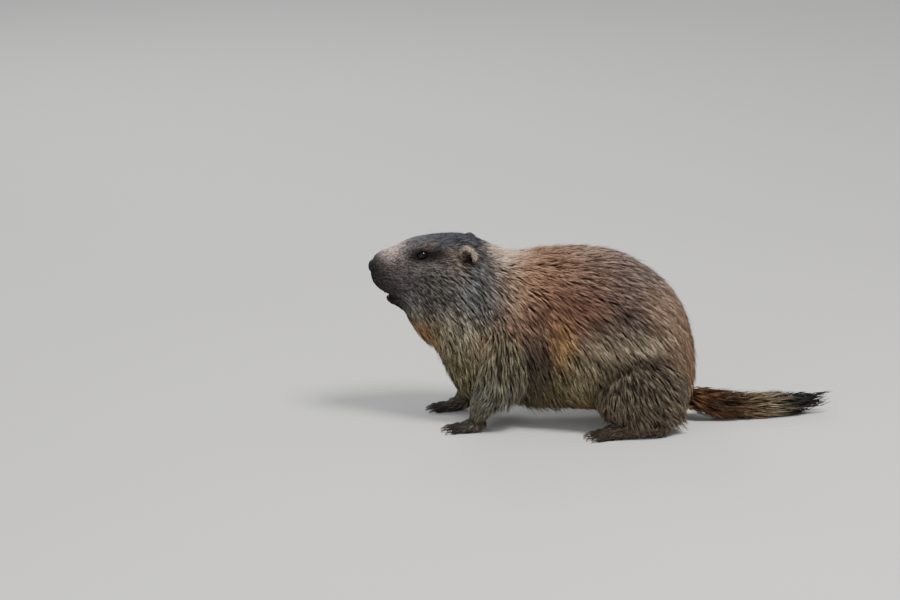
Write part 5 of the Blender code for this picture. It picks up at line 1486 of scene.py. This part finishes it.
def tooth_grid(root, tip, spacing, side):
    """An incisor at (share of its length, turn): a rounded square, bowed forwards, with a bevelled edge."""
    share = np.linspace(0, 1, 24)[:, None]
    turn = turns(20)[None, :]
    x = root[0] + (tip[0] - root[0]) * share - TOOTH_BOW * np.sin(math.pi * share)
    z = root[1] + (tip[1] - root[1]) * share
    wide = TOOTH_WIDE * (0.92 + 0.08 * np.sin(math.pi * share))
    deep = TOOTH_DEEP * (1 - TOOTH_BEVEL * ease(share, 0.62, 1.0))
    cut = signed_power(np.cos(turn), 0.7)
    across = signed_power(np.sin(turn), 0.7)
    return np.stack((x + deep * cut - 0.0004 * share, side * spacing + wide * across + 0 * x,
                     z + 0 * turn + 0 * x), axis=-1)


def ear_place(side):
    """Middle of the ear on one side, with its distance from the midline. The right ear is a little lower."""
    return np.array(EAR_CENTRE) + (np.array(RIGHT_EAR_SHIFT) if side > 0 else 0.0)


def ear_grid(side):
    """A round ear at (place from back to cup, turn): its back swells out to the rim, and its cup sinks in.

    The outline is a circle drawn out upwards and flattened against the head. Radius and depth follow a
    profile from the middle of the back, over the rim, to the bottom of the cup.
    """
    known, place = np.linspace(0, 1, len(EAR_PROFILE)), np.linspace(0, 1, 44)
    radius, depth = (
        curve_through(np.column_stack((known, column)), place)[:, None] for column in np.array(EAR_PROFILE).T)
    turn = turns(56)[None, :]
    notch = 1 - EAR_NOTCH * np.exp(-(((turn - 1.5 * math.pi) / 0.5) ** 2))
    x = EAR_RADII[0] * radius * np.cos(turn) * notch
    z = EAR_RADII[2] * radius * np.sin(turn) * notch * (1 + EAR_DRAWN_UP * np.sin(turn))
    y = side * EAR_RADII[1] * depth + 0 * x
    y = y + side * EAR_BEND * radius**2 * np.cos(turn)
    y, z = turned(y, z, side * EAR_LEAN)
    x, y = turned(x, y, side * EAR_TURN)
    place = ear_place(side)
    return np.stack((x + place[0], y + side * place[1], z + place[2]), axis=-1)


def whisker_grids(settings, tree, random):
    """Whiskers in rows on each pad, and a few over each eye: fine tubes on arcs that sweep back and down."""
    for side, _ in SIDES:
        roots = []
        for k in range(settings.whiskers):
            row, place = k % WHISKER_ROWS, k // WHISKER_ROWS
            x = WHISKER_FIRST[0] + WHISKER_APART * place + WHISKER_SLANT * row
            z = WHISKER_FIRST[2] - WHISKER_ROW_APART * row
            roots.append(((x, side * WHISKER_FIRST[1], z), 0.048 + 0.011 * place, 0.25 - 0.16 * row))
        x, y, z = BROW_WHISKER
        roots += [((x + 0.006 * k, side * y, z), 0.026, 0.9) for k in range(3)]
        for place, length, climb in roots:
            ground, normal, _, _ = tree.find_nearest(Vector(place))
            start = np.array(ground) - np.array(normal) * WHISKER_SUNK
            out = np.array(normal) * 0.9 + np.array((0.45, 0.0, 0.30 * climb))
            out = unit(out + random.normal(0, 0.06, 3))
            length = length * random.uniform(0.8, 1.2)
            share = np.linspace(0, 1, 14)[:, None]
            sweep = np.array((0.40, 0.0, -0.12 + 0.3 * climb)) * length
            line = start + out * length * share * (1 - 0.25 * share) + sweep * share**2
            radius = WHISKER_RADIUS * (1 - 0.85 * share)
            yield tube(line, np.repeat(radius, 2, axis=1), 5, 14)


def claw_grids():
    """Claws at (place along it, turn): a narrow ellipse that tapers along an arc, out of the toe and down."""
    for _, sole, toes, placed in feet():
        for offset, degrees, length in toes.values():
            points, away = toe_points(sole[-1][0][0], offset, degrees, length)
            tip = points[-1]
            root = tip - away * CLAW_SUNK + np.array((0, 0, 0.0008))
            middle = tip + away * CLAW_LENGTH * 0.42 + np.array((0, 0, 0.0012))
            low = tip + away * CLAW_LENGTH * 0.80 + np.array((0, 0, -0.0005))
            end = tip + away * CLAW_LENGTH + np.array((0, 0, 0.0007 - tip[2]))
            centres = placed(np.stack((root, middle, low, end)))
            radii = CLAW_RADIUS * np.array(((0.86, 1.15), (0.72, 1.05), (0.50, 0.72), (0.10, 0.14)))
            yield tube(centres, radii, 12, 18)


def ear_fields(side, word, random):
    """Clump roots over one ear, with hair that lies from its root and its cup's bottom out to its rim."""
    grid = ear_grid(side)
    rings, sides = grid.shape[:2]
    a, b = grid[:-1], grid[1:]
    across = np.roll(a, -1, axis=1) - a
    cross = np.cross(b - a, across)
    area = np.linalg.norm(cross, axis=-1)
    hollow = grid[:-1] - grid.mean(axis=(0, 1))
    outward = np.sign(np.sum(cross[: rings // 3] * hollow[: rings // 3]))
    weight = area * np.where(np.arange(rings - 1)[:, None] < rings * 0.62, 1.0, 1.6)
    row, column = np.unravel_index(strided_draws(weight.ravel(), EAR_CLUMPS, random), area.shape)
    u, v = random.random((2, EAR_CLUMPS, 1))
    root = a[row, column] + (b - a)[row, column] * u + across[row, column] * v
    normal = unit(cross[row, column] * outward)
    share = row / (rings - 1)
    rim = ease(share, 0.62, 0.45)[:, None]
    along = unit((b - a)[row, column]) * np.where(share < 0.45, 1.0, -1.0)[:, None]
    lie = unit(along * (0.7 + 0.5 * (1 - rim)) + np.array((0.85, 0.0, 0.20)) * (0.15 + 0.85 * rim))
    turn = column / sides * 2 * math.pi
    upper = ease(np.sin(turn), -0.90, -0.20) * (0.55 + 0.45 * ease(np.cos(turn), -0.9, 0.1))
    upper = upper[:, None]
    edge = ease(share, 0.22, 0.36)[:, None] * rim
    inner = 1 - rim
    # painted shade: the hole's weight darkens the hair in the lower part of the cup
    weights = {
        "rim": edge * upper, "cup": inner * upper, "hole": inner * (1 - upper), "back": rim - edge * upper}
    light, dark = (sum(weight * EAR_TONES[name][k] for name, weight in weights.items()) for k in range(2))
    length = 5.4 + 1.6 * rim * upper + 2.4 * inner
    rise, width = (0.20 + 0.24 * inner) * length, 0.62 + 0.15 * rim
    values = np.column_stack((length, rise, width, np.zeros(EAR_CLUMPS), light, dark))
    low = np.array(EAR_FIELD[word])
    home = low[:2] + low[2:] * np.column_stack((share, column / sides))
    return {"root": root, "normal": normal, "lie": lie, "values": values, "home": home}


class MARMOT_OT_skin(bpy.types.Operator):
    """Joins the body's forms into one skin without seams, with the tones of its underfur and painted shade
    under long hair and round the ears
    """
    bl_idname = "marmot.skin"
    bl_label = "Skin"

    def execute(self, context):
        settings = context.scene.marmot_coat
        make_fields(settings)
        points, quads = WORK["points"], WORK["quads"]
        mesh = mesh_of("skin", points, quads)
        values = coat_values(points, WORK["share"], WORK["along"])
        light, dark = linear(values[:, LIGHT]), linear(values[:, DARK])
        # painted shade: the underfur's tone is darkened more, the longer the hair above it
        shade = np.clip(0.88 - 0.024 * values[:, :1], 0.34, 0.80)
        tone = (dark * 0.62 + light * 0.38) * settings.light * shade
        ring, outwards = eye_ring(points)
        rim = ease(ring, 2.1, 1.6) * (outwards > -0.006)
        tone = blend(tone, np.array(EYE_RIM_TONE), rim[:, None])
        # painted shade: the skin within 20 mm of the ear's middle is darkened
        shade_round_ear = ease(distance_to(points, EAR_CENTRE), 0.0200, 0.0120)
        tone = tone * (1 - 0.6 * shade_round_ear[:, None])
        inside = ease(lip_gap(points), -0.0006, 0.0010) * (WORK["share"][:, TRUNK] > 0.9)
        tone = blend(tone, np.array(MOUTH_TONE), inside[:, None])
        kinds = WORK["share"].argmax(axis=1)
        sole = ease(-WORK["normal"][:, 2], 0.35, 0.7) * (points[:, 2] < 0.006) * (kinds >= PAW)
        set_tones(mesh, blend(tone, np.array(SOLE_TONE), sole[:, None]))
        flesh = [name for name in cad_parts
                 if name.startswith(("head", "neck", "torso", "tail", "fore_", "hind_"))]
        add_piece("skin", mesh, skin_material(), "body_coat", flesh)
        return {"FINISHED"}


class MARMOT_OT_coat(bpy.types.Operator):
    """Grows the coat: clumps of tapered tufts that lie along the body, in one piece for each region"""
    bl_idname = "marmot.coat"
    bl_label = "Coat"

    def execute(self, context):
        settings = context.scene.marmot_coat
        random = np.random.default_rng(settings.seed)
        tree = BVHTree.FromPolygons(work("points").tolist(), work("quads").tolist())
        WORK["tree"] = tree
        fields = sow(settings, random)
        fields["values"] = coat_values(fields["root"], fields["share"], fields["along"])
        fields["home"] = unwrapped(fields["part"], fields["along"], fields["around"])
        kind = fields["share"].argmax(axis=1)
        x, short = fields["root"][:, 0], fields["values"][:, LENGTH] / 1000 < SHORT_BELOW
        trunk = (kind == TRUNK) & ~short
        regions = {
            "coat_face": ((kind == TRUNK) & short, SHORT_TUFTS, "head_coat"),
            "coat_head": (trunk & (x < NECK_FROM), LONG_TUFTS, "head_coat"),
            "coat_neck": (trunk & (x >= NECK_FROM) & (x < BODY_FROM), LONG_TUFTS, "body_coat"),
            "coat_body": (trunk & (x >= BODY_FROM) & (x < RUMP_FROM), LONG_TUFTS, "body_coat"),
            "coat_rump": (trunk & (x >= RUMP_FROM), LONG_TUFTS, "body_coat"),
            "coat_fore_legs": (((kind == FORE_LEG) | (kind == PAW)) & ~short, LONG_TUFTS, "leg_coat"),
            "coat_hind_legs": (((kind == HIND_LEG) | (kind == FOOT)) & ~short, LONG_TUFTS, "leg_coat"),
            "coat_feet": ((kind >= FORE_LEG) & short, SHORT_TUFTS, "leg_coat"),
            "coat_tail": ((kind == TAIL) & ~short, LONG_TUFTS, "tail_coat"),
        }
        hair = hair_material()
        WORK["hair"] = hair
        for name, (mask, rule, slot) in regions.items():
            chosen = np.flatnonzero(mask)
            if not len(chosen):
                continue
            rings = len(rule["rings"])
            each = rule["tufts"] * (6 * (rings - 1) + 4)
            pieces = math.ceil(len(chosen) * each / PIECE_LIMIT)
            for index, rows in enumerate(np.array_split(chosen, pieces)):
                part = {key: value[rows] for key, value in fields.items()}
                mesh = coat_mesh(name, *grow(part, rule, settings, random, tree), rings)
                add_piece(f"{name}_{index + 1}" if pieces > 1 else name, mesh, hair, slot)
        return {"FINISHED"}


class MARMOT_OT_eyes(bpy.types.Operator):
    """Makes both eyeballs with their corneas, and the dark lids round them"""
    bl_idname = "marmot.eyes"
    bl_label = "Eyes and lids"

    def execute(self, context):
        settings = context.scene.marmot_face
        glossy = eye_material(settings.iris)
        leather = leather_material(scaled(settings.leather, 0.22), 0.60, 0.10, 0.05)
        for side, word in SIDES:
            centre, outward, _, _ = eye_frame(side)

            def from_pupil(points, centre=centre, outward=outward):
                return np.arccos(np.clip(unit(points - centre) @ outward, -1, 1)) / math.pi * 1.6

            add_tubes(f"eyeball_{word}", [eye_grid(side, settings.eye_radius)], glossy, "eye",
                      [f"eye_{word}"], {"From pupil": from_pupil})
            grid = lid_grid(side, settings.eye_radius)
            quads = grid_quads(*grid.shape[:2], rings_close=True)
            mesh = mesh_of(f"lids_{word}", grid.reshape(-1, 3), quads if side > 0 else quads[:, ::-1])
            add_piece(f"lids_{word}", mesh, leather, "head_coat")
        return {"FINISHED"}


class MARMOT_OT_nose(bpy.types.Operator):
    """Makes the bare nose with its nostrils"""
    bl_idname = "marmot.nose"
    bl_label = "Nose"

    def execute(self, context):
        leather = leather_material(tuple(context.scene.marmot_face.leather), 0.50, 0.32, 0.20)
        add_tubes("nose", [nose_grid()], leather, "head_coat")
        return {"FINISHED"}


class MARMOT_OT_mouth(bpy.types.Operator):
    """Makes both lips and the four incisors"""
    bl_idname = "marmot.mouth"
    bl_label = "Mouth"

    def execute(self, context):
        settings = context.scene.marmot_face
        leather = leather_material(scaled(settings.leather, 0.6), 0.66, 0.15, 0.15)
        lips = [lip_grid(slope, LIP_RADIUS) for slope in (UPPER_LIP_SLOPE, -LOWER_LIP_SLOPE)]
        add_tubes("lips", lips, leather, "head_coat")
        teeth = [tooth_grid(root, tip, spacing, side)
                 for root, tip, spacing in INCISORS.values() for side, _ in SIDES]
        nodes = [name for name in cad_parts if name.startswith("incisor_")]
        add_tubes("incisors", teeth, tooth_material(settings.enamel), "tooth", nodes)
        return {"FINISHED"}


class MARMOT_OT_ears(bpy.types.Operator):
    """Makes both round ears with their cups"""
    bl_idname = "marmot.ears"
    bl_label = "Ears"

    def execute(self, context):
        material, hair = ear_material(), work("hair")
        settings = context.scene.marmot_coat
        random = np.random.default_rng(settings.seed + 20)
        for side, word in SIDES:
            grid = ear_grid(side)
            ear = add_tubes(f"ear_skin_{word}", [grid], material, "ear_coat", [f"ear_{word}"])
            quads, triangles = closed_faces(*grid.shape[:2])
            tree = BVHTree.FromPolygons(closed_points(grid).tolist(), [*quads.tolist(), *triangles.tolist()])
            grown = grow(ear_fields(side, word, random), SHORT_TUFTS, settings, random, tree)
            mesh = coat_mesh("ear_coat", *grown, len(SHORT_TUFTS["rings"]))
            add_piece(f"ear_coat_{word}", mesh, hair, "ear_coat")
            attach(ear, "root")
        return {"FINISHED"}


class MARMOT_OT_whiskers(bpy.types.Operator):
    """Sets the whiskers in rows on the muzzle and over the eyes"""
    bl_idname = "marmot.whiskers"
    bl_label = "Whiskers"

    def execute(self, context):
        random = np.random.default_rng(context.scene.marmot_coat.seed + 40)
        grids = list(whisker_grids(context.scene.marmot_face, work("tree"), random))
        add_tubes("whiskers", grids, whisker_material(), "head_coat")
        return {"FINISHED"}


class MARMOT_OT_claws(bpy.types.Operator):
    """Makes every claw"""
    bl_idname = "marmot.claws"
    bl_label = "Claws"

    def execute(self, context):
        grids = list(claw_grids())
        rings, sides = grids[0].shape[:2]
        each = np.append(np.repeat(np.linspace(0, 1, rings), sides), (0.0, 1.0))
        nodes = [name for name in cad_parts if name.startswith("claw_")]
        add_tubes("claws", grids, claw_material(context.scene.marmot_face.horn), "claw", nodes,
                  {"Along claw": lambda points: np.tile(each, len(points) // len(each))})
        return {"FINISHED"}


class MARMOT_OT_stage(bpy.types.Operator):
    """Lays a pale floor and sets soft studio lights and the camera"""
    bl_idname = "marmot.stage"
    bl_label = "Stage"

    def execute(self, context):
        settings = context.scene.marmot_stage
        floor_stage(settings)
        studio_lights(settings)
        place_camera(settings)
        return {"FINISHED"}


def floor_stage(settings):
    """A level floor that curves up far behind: height = 0.35 * (distance behind the bend squared)."""
    across, away = np.meshgrid(np.linspace(-6, 6, 40), np.linspace(-4, 9, 60), indexing="ij")
    height = FLOOR_CURVE * np.maximum(away - FLOOR_BEND, 0.0) ** 2
    points = np.stack((across, away, height), axis=-1).reshape(-1, 3)
    quads = grid_quads(*across.shape, sides_close=False)[:, (0, 3, 2, 1)]
    obj = link_new("floor", mesh_of("floor", points, quads))
    obj.data.materials.append(floor_material(settings.floor))


def add_light(name, place, aim, size, power, tint):
    """A round soft light at a place, turned to what it lights."""
    data = bpy.data.lights.new(name, "AREA")
    data.shape = "DISK"
    data.size = size
    data.energy = power
    data.color = tint
    obj = link_new(name, data)
    obj.location = place
    obj.rotation_euler = (Vector(aim) - Vector(place)).to_track_quat("-Z", "Y").to_euler()


def studio_lights(settings):
    """A pale sky all round, the large key light above, and a weaker light in front and behind."""
    world = bpy.data.worlds.new("studio")
    world.use_nodes = True
    background = world.node_tree.nodes["Background"].inputs
    background["Color"].default_value = (0.92, 0.96, 1.0, 1.0)
    background["Strength"].default_value = settings.sky
    bpy.context.scene.world = world
    add_light("key", (0.7, -1.1, 2.6), (-0.05, 0.0, 0.1), 0.9, settings.key, (1.0, 0.97, 0.93))
    add_light("fill", (-1.6, -2.4, 1.1), (-0.1, 0.0, 0.12), 1.6, settings.fill, (0.95, 0.97, 1.0))
    add_light("back", (-0.9, 2.2, 1.7), (0.0, 0.0, 0.12), 1.2, settings.fill, (0.96, 0.98, 1.0))


def place_camera(settings):
    """A long lens at the elevation, level with the left flank, aimed at the view's middle."""
    data = bpy.data.cameras.new("camera")
    data.sensor_width = SENSOR_MM
    data.lens = SENSOR_MM * settings.distance / settings.view_width
    data.clip_end = VIEW_ENDS
    obj = link_new("camera", data)
    target = Vector(settings.target)
    away = Vector((0.0, -math.cos(settings.elevation), math.sin(settings.elevation)))
    obj.location = target + away * settings.distance
    obj.rotation_euler = (-away).to_track_quat("-Z", "Y").to_euler()
    bpy.context.scene.camera = obj


class MARMOT_PT_panel(bpy.types.Panel):
    """The marmot's pieces and their settings"""
    bl_idname = "MARMOT_PT_panel"
    bl_label = "Alpine marmot"
    bl_space_type = "VIEW_3D"
    bl_region_type = "UI"
    bl_category = "Marmot"

    def draw(self, context):
        scene = context.scene
        for group in (scene.marmot_coat, scene.marmot_face, scene.marmot_stage):
            box = self.layout.box()
            for key in group.__annotations__:
                box.prop(group, key)
        for operator in OPERATORS:
            self.layout.operator(operator.bl_idname)


OPERATORS = (
    MARMOT_OT_stage, MARMOT_OT_skin, MARMOT_OT_coat, MARMOT_OT_eyes, MARMOT_OT_nose, MARMOT_OT_mouth,
    MARMOT_OT_ears, MARMOT_OT_whiskers, MARMOT_OT_claws,
)
GROUPS = {
    "marmot_coat": MarmotCoatSettings,
    "marmot_face": MarmotFaceSettings,
    "marmot_stage": MarmotStageSettings,
}


def register():
    for group in GROUPS.values():
        bpy.utils.register_class(group)
    for name, group in GROUPS.items():
        setattr(bpy.types.Scene, name, bpy.props.PointerProperty(type=group))
    for operator in OPERATORS:
        bpy.utils.register_class(operator)
    bpy.utils.register_class(MARMOT_PT_panel)


def unregister():
    bpy.utils.unregister_class(MARMOT_PT_panel)
    for operator in reversed(OPERATORS):
        bpy.utils.unregister_class(operator)
    for name, group in GROUPS.items():
        delattr(bpy.types.Scene, name)
        bpy.utils.unregister_class(group)


def main():
    register()
    bpy.ops.marmot.stage()
    bpy.ops.marmot.skin()
    bpy.ops.marmot.coat()
    bpy.ops.marmot.eyes()
    bpy.ops.marmot.nose()
    bpy.ops.marmot.mouth()
    bpy.ops.marmot.ears()
    bpy.ops.marmot.whiskers()
    bpy.ops.marmot.claws()


if __name__ == "__main__":
    main()
